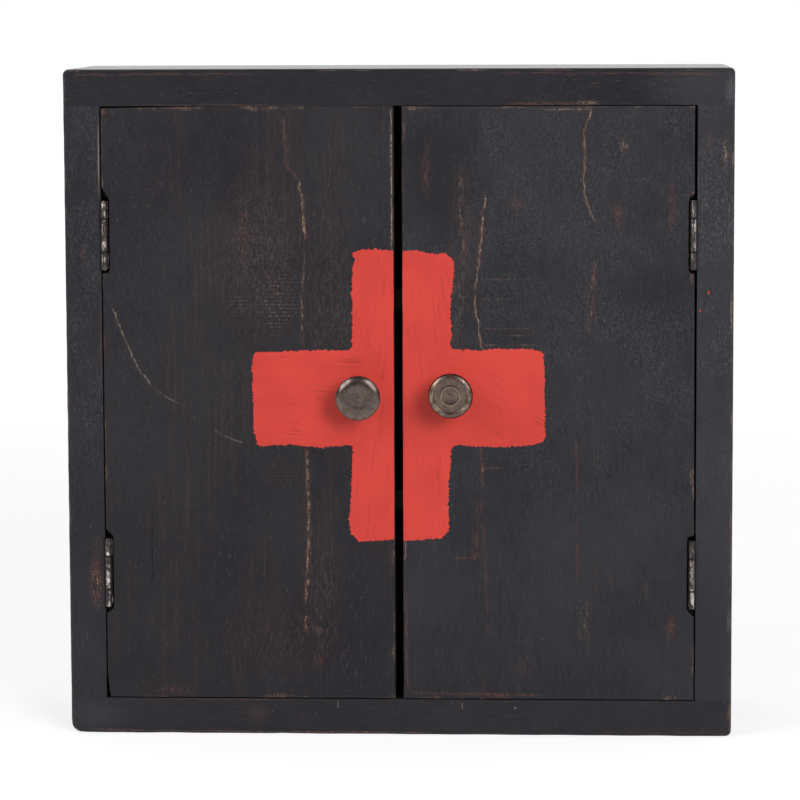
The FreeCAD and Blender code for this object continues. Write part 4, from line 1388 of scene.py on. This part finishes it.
@dataclass
class Door:
    """One inset door of a wide and a narrow board, with its share of the painted cross."""

    side: Side
    arris: float = 1.0
    hinge_arris: float = 0.6
    tight_arris: float = 0.3
    drop: float = 0.35
    spread: float = 0.75
    lean: float = -0.9
    left_rise: Line = ((-178.0, -0.1), (-150.0, 0.2), (-112.0, 0.9))
    right_rise: Line = ((0.0, 0.6), (178.0, 0.5))
    left_slips: Line = ((6.0, 1.0), (4.5, 3.0))
    right_slips: Line = ((3.0, 1.5), (2.0, 3.5))
    foot_chip: Line = ((-179, 20), (-174.8, 20), (-176.2, 27), (-177.2, 40), (-179, 40))
    foot_chip_y: float = -50.0
    seam: float = 0.12
    back: float = 0.6
    hollow: float = 0.22
    leaf_x: float = 173.8
    barrel_x: float = 172.8
    edge_x: float = 178.0
    leaf_y: float = -47.7
    barrel_y: float = -53.0
    front_y: float = -62.0
    hinge_z: Flat = (HINGE_LEVEL + HINGE_RISE, HINGE_LEVEL - HINGE_RISE)
    hinge_half: float = 21.9
    face: Board = field(init=False)

    def __post_init__(self) -> None:
        """Settles the plain face that the cross follows."""
        boxes = np.array([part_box(f"{self.side.word}_door_{part}_board") for part in ("wide", "narrow")])
        low, high = boxes[:, 0].min(0) / MM, boxes[:, 1].max(0) / MM
        self.face = Board(low, high, {f"{self.side.inner}-y": self.arris}, 70, self.hollow, self.hollow_seed)

    @property
    def hollow_seed(self) -> int:
        """Both boards of a door were planed together."""
        return 70 + self.side.value

    def splits(self) -> list[tuple[Line, float, float]]:
        """Splits in the wide board: a line, how far it gapes and how deep it is.

        Returns:
            All of them.
        """
        if self.side is Side.LEFT:
            return [(LEFT_SPLIT, 0.22, 0.7), (LEFT_LOW_SPLIT, 0.2, 0.8)]
        return [(((114, 376), *RIGHT_SPLIT), 0.26, 0.8)]

    def notches(self) -> list[Mesh]:
        """What is chopped out of the wide board for the hinges, with slips of the chisel above and below.

        Returns:
            Closed meshes to cut with.
        """
        way, left = self.side.value, self.side is Side.LEFT
        slips = self.left_slips if left else self.right_slips
        past, seat, room = way * (self.edge_x + 1.0), way * self.leaf_x, way * self.barrel_x
        cuts = []
        for z, (above, below) in zip(self.hinge_z, slips):
            low, high = z - self.hinge_half, z + self.hinge_half
            cuts.append(prism(oblong(seat, past, low, high), self.front_y, self.leaf_y))
            outline = [(room, low + 1.2), (room + 0.9 * way, low - 0.6), (room + 3.6 * way, low - below)]
            outline += [(past, low - below), (past, high + above), (room + 3.8 * way, high + above)]
            outline += [(room + 0.6 * way, high + 0.9), (room, high - 0.6)]
            cuts.append(prism(outline, self.front_y, self.barrel_y))
        if left:
            cuts.append(prism(self.foot_chip, self.front_y, self.foot_chip_y))
        return cuts

    def boards(self) -> None:
        """Makes the two boards."""
        side, left = self.side, self.side is Side.LEFT
        for number, part in enumerate(("wide", "narrow")):
            node, wide = f"{side.word}_door_{part}_board", part == "wide"
            free, glued = (side.outer, side.inner) if wide else (side.inner, side.outer)
            rounds = {f"{free}-y": self.hinge_arris if wide else self.arris}
            rounds |= {"-y-z": self.tight_arris, "-y+z": self.tight_arris, f"{glued}-y": self.seam}
            rounds |= dict.fromkeys((f"{free}+y", "+y-z", "+y+z"), self.back)
            seed = 20 + side.value if wide else self.face.seed
            wear = {"hollow": self.hollow, "hollow_seed": self.hollow_seed, "step": 3.5}
            board = Board.of(node, rounds=rounds, seed=seed, **wear)
            board.low[2] -= self.drop
            board.rise = self.left_rise if left else self.right_rise
            cutters = []
            if wide:
                (board.low if left else board.high)[0] += self.spread * side.value
                board.lean = 0.0 if left else self.lean
                cutters = self.notches() + [wedge(*split, board.low[1]) for split in self.splits()]
            ends = [(mark, *mark.reach()) for mark in DOOR_MARKS[side]]
            marks = [mark for mark, start, end in ends if end > board.low[0] and start < board.high[0]]
            shift = 13.0 + 17.0 * number + 29.0 * (side.value + 1)
            paint = DOOR_PAINTS[side].material(f"{node}_paint", Grain.UP, *board.edges(glued), marks, shift)
            board.finish(node, side.door, "door_wood", paint, cutters)


@dataclass
class Cross:
    """The hand-painted cross: a thin ragged coat on each door."""

    door: Door
    thick: float = 0.16
    stroke: float = 0.05
    sunk: float = 0.08
    grid: float = 2.0
    ragged: float = 0.21
    spacing: float = 0.42
    corner: float = 0.9
    feather: float = 1.4
    gap_x: float = 2.6
    free_x: float = 4.0
    gap_lines: tuple[float, ...] = (2.75, 2.95, 3.2, 3.5)

    def outline(self) -> list[Flat]:
        """Corners of this door's share, from the top of the gap between the doors round to its foot.

        Returns:
            Places in X and Z.
        """
        if self.door.side is Side.LEFT:
            return [
                (-2.6, 293.9), (-5.3, 293.9), (-13.9, 294.9), (-21.2, 294.3), (-27.6, 292.4), (-25.5, 288.8),
                (-26.7, 285.1), (-27.5, 260.6), (-27.8, 236.0), (-30.4, 234.1), (-58.4, 233.8), (-76.8, 232.9),
                (-86.0, 232.9), (-88.2, 223.6), (-87.4, 217.4), (-87.0, 185.3), (-84.6, 176.6), (-58.8, 176.7),
                (-46.4, 175.5), (-28.2, 176.5), (-27.6, 174.3), (-28.7, 145.8), (-30.0, 130.8), (-28.9, 123.3),
                (-24.5, 117.8), (-11.0, 119.4), (-2.6, 119.8),
            ]
        return [
            (2.6, 293.4), (10.6, 294.1), (21.6, 291.8), (28.3, 292.6), (33.2, 287.6), (33.5, 281.4), (31.9, 266.8),
            (31.2, 254.5), (32.2, 242.2), (30.6, 236.7), (33.1, 234.8), (45.9, 233.9), (58.1, 234.9), (78.9, 235.1),
            (86.2, 233.1), (87.7, 225.1), (87.5, 205.4), (87.8, 186.9), (88.7, 180.1), (81.4, 177.0), (64.2, 176.0),
            (34.7, 176.9), (31.7, 175.7), (30.8, 162.1), (29.8, 143.5), (30.0, 126.1), (26.0, 120.5), (14.9, 119.8),
            (2.6, 118.9),
        ]

    def border(self) -> np.ndarray:
        """The ragged edge of the paint, with a straight run along the gap between the doors.

        Returns:
            Places in X and Z, all the way round.
        """
        draw = np.random.default_rng(90 + self.door.side.value)
        corners = eased_line(np.array(self.outline()), self.corner)
        spots, ways = [], []
        for start, end in zip(corners[:-1], corners[1:]):
            run = np.linalg.norm(end - start)
            steps = max(1, round(run / self.spacing))
            spots += [start + (end - start) * i / steps for i in range(steps)]
            ways += [np.array([end[1] - start[1], start[0] - end[0]]) / run] * steps
        base, count = np.array(spots), len(spots)
        rough = np.zeros(count)
        for span, weight in ((1, 1.2), (2, 0.9), (5, 0.6), (30, 0.8)):
            noise = draw.normal(size=count + span)
            rough += weight * np.convolve(noise, np.ones(span) / span**0.5, "valid")[:count]
        calm = np.clip((np.abs(base[:, 0]) - 3.0) / 2.0, 0.0, 1.0)
        ragged = base + np.array(ways) * (self.ragged * rough * calm)[:, None]
        heights = np.arange(corners[-1, 1], corners[0, 1], self.grid)[1:]
        return np.vstack([ragged, corners[-1:], np.stack([np.full(len(heights), base[0, 0]), heights], 1)])

    def sheet(self, edge: np.ndarray) -> tuple[np.ndarray, list[list[int]]]:
        """Fills the border with triangles.

        Args:
            edge: the border.

        Returns:
            Points in X and Z, and the three points of each triangle.
        """
        low, high = edge.min(0), edge.max(0)
        near_gap = self.door.side.value * np.array(self.gap_lines)
        columns = np.concatenate([np.arange(low[0], high[0], self.grid), near_gap])
        fill = np.array([(x, z) for x in columns for z in np.arange(low[1], high[1], self.grid)])
        ring = [(i, (i + 1) % len(edge)) for i in range(len(edge))]
        flat, _, tris, *_ = delaunay_2d_cdt([Vector(p) for p in np.vstack([edge, fill])], ring, [], 1, 1e-4)
        used = np.unique([i for tri in tris for i in tri])
        number = {old: new for new, old in enumerate(used)}
        return np.array([tuple(p) for p in flat])[used], [[number[i] for i in tri] for tri in tris]

    def build(self) -> None:
        """Makes the coat of paint on the door."""
        side, face, edge = self.door.side, self.door.face, self.border()
        plan, tris = self.sheet(edge)
        count = len(plan)
        free = edge[np.abs(edge[:, 0]) > self.free_x]
        full = np.min([np.linalg.norm(plan - spot, axis=1) for spot in free], axis=0)
        full = np.clip(full / self.feather, 0.0, 1.0)
        strokes = dips(6.0 * plan[:, 0], 1.2 * plan[:, 1], 97)
        coat = self.thick * (0.3 + 0.7 * full) + self.stroke * strokes * full
        seat = face.worn(np.stack([plan[:, 0], np.full(count, face.low[1]), plan[:, 1]], 1))
        lean = np.clip(1.0 - (np.abs(plan[:, 0]) - self.gap_x), 0.0, 1.0) * -side.value * 0.7
        out = np.stack([lean, -np.ones(count), np.zeros(count)], 1)
        out /= np.linalg.norm(out, axis=1)[:, None]
        points = np.vstack([seat + out * coat[:, None], seat - out * self.sunk])
        runs = [run for tri in tris for run in zip(tri, tri[1:] + tri[:1])]
        paired = set(runs)
        faces = [tuple(tri) for tri in tris] + [tuple(i + count for i in reversed(tri)) for tri in tris]
        faces += [(b, a, a + count, b + count) for a, b in runs if (b, a) not in paired]
        name = f"{side.word}_cross_paint"
        made = linked(name, closed(name, points, faces))
        dress(made, side.door, BrushedRed().material(name, side), crease=60.0)


@dataclass
class Knob:
    """A turned brass knob."""

    side: Side
    turns: int = 96
    rim: float = 13.25
    tall: float = 24.0
    front: float = FRONT_Y

    @property
    def middle(self) -> Flat:
        """X and Z of its axis.

        Returns:
            The two.
        """
        low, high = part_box(f"{self.side.word}_knob")
        centre = (low + high) / 2 / MM
        return centre.x, centre.z

    def face(self) -> list[Flat]:
        """Radius and height across the face, from the rim to the centre.

        Returns:
            Pairs of the two.
        """
        tall, rim = self.tall, self.rim
        if self.side is Side.LEFT:
            return [
                (rim - 0.15, tall - 1.95), (rim - 0.6, tall - 1.5), (rim - 1.4, tall - 1.0), (rim - 2.4, tall - 0.55),
                (rim - 3.6, tall - 0.18), (rim - 5.0, tall - 0.03), (6.4, tall - 0.02), (5.2, tall - 0.12),
                (4.0, tall - 0.16), (1.0, tall - 0.18), (0.5, tall - 0.08), (0.0, tall - 0.05),
            ]
        return [
            (rim - 0.2, tall - 1.5), (rim - 0.7, tall - 0.75), (rim - 1.5, tall - 0.5), (rim - 1.9, tall - 0.1),
            (rim - 2.4, tall), (rim - 2.9, tall - 0.15), (rim - 3.3, tall - 0.75), (rim - 4.2, tall - 0.8),
            (7.6, tall - 0.8), (6.4, tall - 0.78), (5.85, tall - 0.62), (5.25, tall - 0.62), (4.7, tall - 0.8),
            (3.0, tall - 0.9), (1.1, tall - 0.9), (0.6, tall - 0.55), (0.0, tall - 0.5),
        ]

    def profile(self) -> np.ndarray:
        """Radius and height from the door to the centre of the face, with its corners eased.

        Returns:
            Pairs of the two.
        """
        rim = self.rim
        line = [(0.0, 0.0), (7.2, 0.0), (8.0, 0.25), (8.0, 1.2), (7.6, 1.7), (6.2, 2.2), (5.2, 3.2), (4.8, 4.6)]
        line += [(4.75, 7.5), (4.9, 10.0), (5.5, 12.2), (7.0, 14.4), (9.3, 16.2), (11.7, 17.3), (12.9, 18.0)]
        line += [(rim, 18.8), (rim, 20.5), (rim, 22.0)]
        points = np.array(line + self.face())
        return eased_line(eased_line(points))

    def build(self) -> None:
        """Makes the knob."""
        (x, z), line = self.middle, self.profile()
        rings, n = line[1:-1], self.turns
        angles = np.linspace(0.0, math.tau, n, endpoint=False)
        points = [(x, self.front, z), (x, self.front - line[-1, 1], z)]
        for radius, height in rings:
            points += [(x + radius * math.cos(t), self.front - height, z + radius * math.sin(t)) for t in angles]
        faces, last = [], 2 + (len(rings) - 1) * n
        for j in range(n):
            k = (j + 1) % n
            faces += [(0, 2 + j, 2 + k), (1, last + k, last + j)]
            faces += [(ring + j, ring + n + j, ring + n + k, ring + k) for ring in range(2, last, n)]
        node = f"{self.side.word}_knob"
        made = linked(f"{node}_turned", closed(node, np.array(points), faces))
        darker = AgedBrass(tone(90, 78, 74), tone(104, 90, 83), tone(116, 101, 93))
        finish = darker if self.side is Side.LEFT else AgedBrass(ring=5.55)
        material = finish.material(f"{node}_brass", (x, z), 4.0 * self.side.value)
        dress(made, self.side.door, material, [node], 50.0)


@dataclass(frozen=True)
class Driven:
    """A kind of screw or nail, with its sizes in millimetres."""

    shank: float
    head_height: float
    slot: float = 0.0
    slot_depth: float = 0.0


class DrivenTree(Tree):
    """Geometry nodes that set one screw or nail on each point, its head facing along the point's out vector."""

    SIZES = ("Head Radius", "Head Height", "Shank Radius", "Length", "Slot Width", "Slot Depth")

    def __init__(self) -> None:
        """Builds the tree."""
        super().__init__(bpy.data.node_groups.new("driven_fasteners", "GeometryNodeTree"))
        kinds = {"Points": "Geometry", **dict.fromkeys(self.SIZES, "Float")}
        kinds |= {"Slotted": "Bool", "Seed": "Int", "Material": "Material"}
        face = self.tree.interface
        face.new_socket("Geometry", in_out="OUTPUT", socket_type="NodeSocketGeometry")
        for name, kind in kinds.items():
            face.new_socket(name, in_out="INPUT", socket_type=f"NodeSocket{kind}")
        given = self.add("NodeGroupInput").outputs
        head, tall, shank, length, slot, deep = (Sock(self, given[size]) for size in self.SIZES)
        body = self.cone(shank, head, tall, tall * -1.0)
        size = self.get("ShaderNodeCombineXYZ", None, {0: head * 3.0, 1: slot, 2: deep * 2.0})
        groove = self.get("GeometryNodeMeshCube", None, {"Size": size})
        cut = self.get("GeometryNodeMeshBoolean", {"operation": "DIFFERENCE"}, {0: body, 1: groove})
        pick = self.get("GeometryNodeSwitch", None, {0: given["Slotted"], 1: body, 2: cut})
        point, neck = shank * 3.0, shank * 0.82
        stem = self.cone(neck, shank, length - tall - point, point - length)
        tip = self.cone(shank * 0.06, neck, point, length * -1.0)
        joined = self.add("GeometryNodeJoinGeometry")
        for part in (pick, stem, tip):
            self.tree.links.new(part.socket, joined.inputs[0])
        out = self.get("GeometryNodeInputNamedAttribute", {"data_type": "FLOAT_VECTOR"}, {0: "out"})
        facing = self.get("FunctionNodeAlignRotationToVector", {"axis": "Z"}, {2: out})
        chance = self.get("FunctionNodeRandomValue", {"data_type": "FLOAT"}, {3: math.tau, 8: given["Seed"]}, 1)
        spin = self.get("FunctionNodeAxisAngleToRotation", None, {0: (0.0, 0.0, 1.0), 1: chance})
        turned = self.get("FunctionNodeRotateRotation", {"rotation_space": "LOCAL"}, {0: facing, 1: spin})
        sockets = {0: given["Points"], 2: joined.outputs[0], 5: turned}
        placed = self.get("GeometryNodeInstanceOnPoints", None, sockets)
        real = self.get("GeometryNodeRealizeInstances", None, {0: placed})
        done = self.get("GeometryNodeSetMaterial", None, {0: real, 2: given["Material"]})
        self.add("NodeGroupOutput", None, {0: done})

    def cone(self, low: Sock, high: Sock, depth: Sock, base: Sock) -> Sock:
        """A length of shank or head.

        Args:
            low: radius at its base.
            high: radius at its top.
            depth: its length.
            base: Z of its base.

        Returns:
            The mesh.
        """
        sockets = {"Vertices": 28, "Radius Bottom": low, "Radius Top": high, "Depth": depth}
        made = self.get("GeometryNodeMeshCone", None, sockets)
        move = self.get("ShaderNodeCombineXYZ", None, {2: base})
        return self.get("GeometryNodeTransform", None, {0: made, 1: move})


@dataclass
class Fasteners:
    """Every screw and nail, set where the solids have them."""

    tree: DrivenTree = field(default_factory=DrivenTree)

    @staticmethod
    def solids(node: str) -> list[np.ndarray]:
        """The corner points of each separate screw or nail of a node, in millimetres.

        Args:
            node: the node.

        Returns:
            An array of points for each, in a settled order.
        """
        work = welded(node)
        left, found = set(work.verts), []
        while left:
            heap = [left.pop()]
            part = []
            while heap:
                vert = heap.pop()
                part.append(tuple(vert.co / MM))
                for edge in vert.link_edges:
                    other = edge.other_vert(vert)
                    if other in left:
                        left.remove(other)
                        heap.append(other)
            found.append(np.array(part))
        work.free()
        return sorted(found, key=lambda part: tuple(part.mean(0).round(2)))

    def drive(self, node: str, body: str, slot: str, material: Material, kind: Driven, seed: int) -> None:
        """Makes the screws or nails of one node as one mesh.

        Args:
            node: the solids they stand for.
            body: the body they ride on.
            slot: the name of their finish; not used.
            material: their material.
            kind: their sizes.
            seed: how their slots happen to lie.
        """
        heads, ways, radius, length = [], [], 0.0, 0.0
        for part in self.solids(node):
            low, high = part.min(0), part.max(0)
            axis = int(np.argmax(high - low))
            middle = (low + high) / 2
            flat = np.delete(part - middle, axis, 1)
            spread = np.linalg.norm(flat, axis=1)
            up = part[np.argmax(spread), axis] > middle[axis]
            way = np.zeros(3)
            way[axis] = 1.0 if up else -1.0
            middle[axis] = high[axis] if up else low[axis]
            heads.append(middle)
            ways.append(way)
            radius, length = spread.max(), (high - low)[axis]
        points = mesh_from(node, np.array(heads), [])
        points.attributes.new("out", "FLOAT_VECTOR", "POINT").data.foreach_set("vector", np.array(ways).ravel())
        made = linked(f"{node}_driven", points)
        sizes = (radius, kind.head_height, kind.shank / 2, length, kind.slot, kind.slot_depth)
        values = {name: size * MM for name, size in zip(self.tree.SIZES, sizes)}
        values |= {"Slotted": kind.slot > 0, "Seed": seed, "Material": material}
        modifier = made.modifiers.new("drive", "NODES")
        modifier.node_group = self.tree.tree
        for item in self.tree.tree.interface.items_tree:
            if item.in_out == "INPUT" and item.name in values:
                modifier[item.identifier] = values[item.name]
        settle(made)
        dress(made, body, material, [node], 30.0)

    def build(self) -> None:
        """Makes them all."""
        plated = RubbedSteel(tone(92, 90, 86), tone(158, 154, 146), 0.6, 0.34, 0.35).material("plated_screws", 3.0)
        dark = RubbedSteel(tone(44, 41, 40), tone(140, 132, 124), 0.3, 0.4, 0.5).material("dark_screws", 9.0)
        painted = RubbedSteel(tone(42, 41, 44), tone(118, 110, 104), 0.2, 0.5, 0.3).material("painted_screws", 15.0)
        leaf, carcass = Driven(2.4, 1.1, 0.7, 0.5), Driven(4.0, 2.6, 1.0, 0.9)
        small, nail = Driven(2.6, 1.2, 0.7, 0.5), Driven(1.7, 0.8)
        fixed = [("carcass_screws", painted, carcass), ("catch_screws", plated, small)]
        fixed += [("wall_hanger_screws", plated, small), ("back_panel_nails", dark, nail)]
        fixed += [("cleat_nails", dark, nail), ("shelf_nails", dark, nail)]
        for seed, (node, material, kind) in enumerate(fixed, 1):
            self.drive(node, CABINET, "plated_steel", material, kind, seed)
        for side in Side:
            self.drive(f"{side.word}_frame_leaf_screws", CABINET, "hinge_steel", dark, leaf, 7)
            self.drive(f"{side.word}_door_leaf_screws", side.door, "hinge_steel", dark, leaf, 8)
            self.drive(f"{side.word}_strike_screw", side.door, "plated_steel", plated, small, 9)


@dataclass
class Fittings:
    """Hinges, catches, strike plates, hangers and what holds the knobs."""

    hinge: RubbedSteel = RubbedSteel(tone(50, 46, 45), tone(206, 197, 193), 0.45, 0.3, 0.3, True)
    plate: RubbedSteel = RubbedSteel(tone(96, 94, 90), tone(160, 156, 148), 0.65, 0.32, 0.25)

    def build(self) -> None:
        """Makes them all."""
        hinge, plate = self.hinge.material("hinge_steel", 2.0), self.plate.material("plated_steel", 6.0)
        plastic = Moulded(tone(94, 66, 48), 0.42).material("catch_plastic")
        ferrite = Moulded(tone(66, 66, 70), 0.5).material("magnet_ferrite")
        for side in Side:
            leaves = (("frame_leaf", CABINET, 0.16), ("hinge_pin", CABINET, 0.3), ("door_leaf", side.door, 0.16))
            for level in ("upper", "lower"):
                for part, body, width in leaves:
                    eased(f"{level}_{side.word}_{part}", body, hinge, width)
            eased(f"{side.word}_catch_housing", CABINET, plastic, 0.4)
            eased(f"{side.word}_catch_magnet", CABINET, ferrite, 0.15)
            plates = [("catch_poles", CABINET, 0.12), ("wall_hanger", CABINET, 0.2), ("strike_plate", side.door, 0.2)]
            plates += [("knob_washer", side.door, 0.15), ("knob_screw", side.door, 0.12)]
            for part, body, width in plates:
                eased(f"{side.word}_{part}", body, plate, width)


@dataclass
class Studio:
    """The pale floor, the soft lights and the camera."""

    focal_pixels: float = 3558.0
    picture: float = 800.0
    sensor: float = 36.0
    eye: Place = (0.1096, -2.1755, 0.4418)
    tilt: Place = (6.40, 2.94, -0.22)
    aim: Place = (0.0, -0.05, 0.2)
    floor_half: float = 15.0
    sky: float = 0.42
    gloom: float = 0.22
    boxes: tuple[Vector, ...] = (Vector((0.55, -0.66, 0.52)), Vector((-0.62, -0.58, 0.53)))
    box_level: float = 4.4
    lamps: tuple[tuple[str, Place, float, float], ...] = (
        ("key", (1.0, -2.1, 0.95), 0.85, 28.5),
        ("fill", (-1.7, -1.4, 1.3), 1.1, 13.0),
    )

    def camera(self) -> None:
        """Sets the camera where the photograph was taken from."""
        rx, ry, rz = (math.radians(angle) for angle in self.tilt)
        turn = Matrix.Rotation(rz, 3, "Z") @ Matrix.Rotation(rx, 3, "X") @ Matrix.Rotation(ry, 3, "Y")
        swap = Matrix(((1, 0, 0), (0, 0, -1), (0, 1, 0)))
        flip = Matrix(((1, 0, 0), (0, -1, 0), (0, 0, -1)))
        lens = bpy.data.cameras.new("camera")
        lens.sensor_width = self.sensor
        lens.lens = self.focal_pixels * self.sensor / self.picture
        lens.clip_end = 100.0
        made = linked("camera", lens)
        made.matrix_world = Matrix.Translation(self.eye) @ (flip @ turn @ swap).transposed().to_4x4()
        bpy.context.scene.camera = made

    def light(self, name: str, place: Place, size: float, power: float) -> None:
        """Adds a square soft box that faces the cabinet.

        Args:
            name: its name.
            place: where it stands, in metres.
            size: its side.
            power: in watts.
        """
        lamp = bpy.data.lights.new(name, "AREA")
        lamp.shape, lamp.size, lamp.energy = "SQUARE", size, power
        made = linked(name, lamp)
        made.location = place
        made.rotation_euler = (Vector(self.aim) - Vector(place)).to_track_quat("-Z", "Y").to_euler()
        made.visible_glossy = False

    def floor(self) -> None:
        """Lays the floor, white to the eye, which keeps the shadow of the cabinet."""
        half = self.floor_half / MM
        plane = np.array([(*corner, 0.0) for corner in oblong(-half, half, -half, half)])
        made = linked("floor", mesh_from("floor", plane, [(0, 1, 2, 3)]))
        s = Shade("floor_white")
        direct, mirrored = self.seen(s)
        far = s.vector("LENGTH", s.mm).step(600.0, 3500.0)
        white = s.mix(far, (0.7, 0.7, 0.7), (0.9, 0.9, 0.9))
        paper = s.get("ShaderNodeBsdfDiffuse", None, {"Color": (0.5, 0.5, 0.5, 1.0)})
        glow = s.get("ShaderNodeEmission", None, {"Color": white, "Strength": direct.high(mirrored)})
        both = s.get("ShaderNodeAddShader", None, {0: paper, 1: glow})
        s.add("ShaderNodeOutputMaterial", None, {0: both})
        made.data.materials.append(s.material)

    @staticmethod
    def seen(tree: Tree) -> tuple[Sock, Sock]:
        """Tells what is seen directly from what is seen in a reflection or through glass.

        Args:
            tree: the tree that asks.

        Returns:
            The two masks.
        """
        path = tree.add("ShaderNodeLightPath").outputs
        direct, glossy, through = (Sock(tree, path[f"Is {way} Ray"]) for way in ("Camera", "Glossy", "Transmission"))
        return direct, glossy.high(through)

    def world(self) -> None:
        """Sets the sky: white behind the cabinet, soft boxes in reflections, and a plain level for its light."""
        world = bpy.data.worlds.new("studio")
        bpy.context.scene.world = world
        world.use_nodes = True
        tree = Tree(world.node_tree)
        way = tree.get("ShaderNodeTexCoord", output="Generated")
        depth = tree.get("ShaderNodeSeparateXYZ", None, {0: way}, 1)
        behind = depth.step(-0.25, 0.35) * (1.0 - self.gloom) + self.gloom
        for box in self.boxes:
            sockets = {0: way, 1: box.normalized()}
            near = tree.get("ShaderNodeVectorMath", {"operation": "DOT_PRODUCT"}, sockets, "Value")
            behind = behind + near.step(0.93, 0.97) * self.box_level
        direct, mirrored = self.seen(tree)
        level = (mirrored * (behind - self.sky) + self.sky).high(direct)
        shade = tree.get("ShaderNodeBackground", None, {0: (1.0, 1.0, 1.0, 1.0), 1: level})
        tree.add("ShaderNodeOutputWorld", None, {0: shade})

    def build(self) -> None:
        """Sets up the whole studio."""
        bpy.context.scene.view_settings.view_transform = "Standard"
        self.camera()
        self.floor()
        self.world()
        for lamp in self.lamps:
            self.light(*lamp)


def main() -> None:
    """Builds the cabinet piece by piece."""
    logging.basicConfig(level=logging.INFO, format="%(message)s")
    Studio().build()
    Carcass().build()
    for side in Side:
        door = Door(side)
        door.boards()
        Cross(door).build()
        Knob(side).build()
    Fittings().build()
    Fasteners().build()


if __name__ == "__main__":
    main()
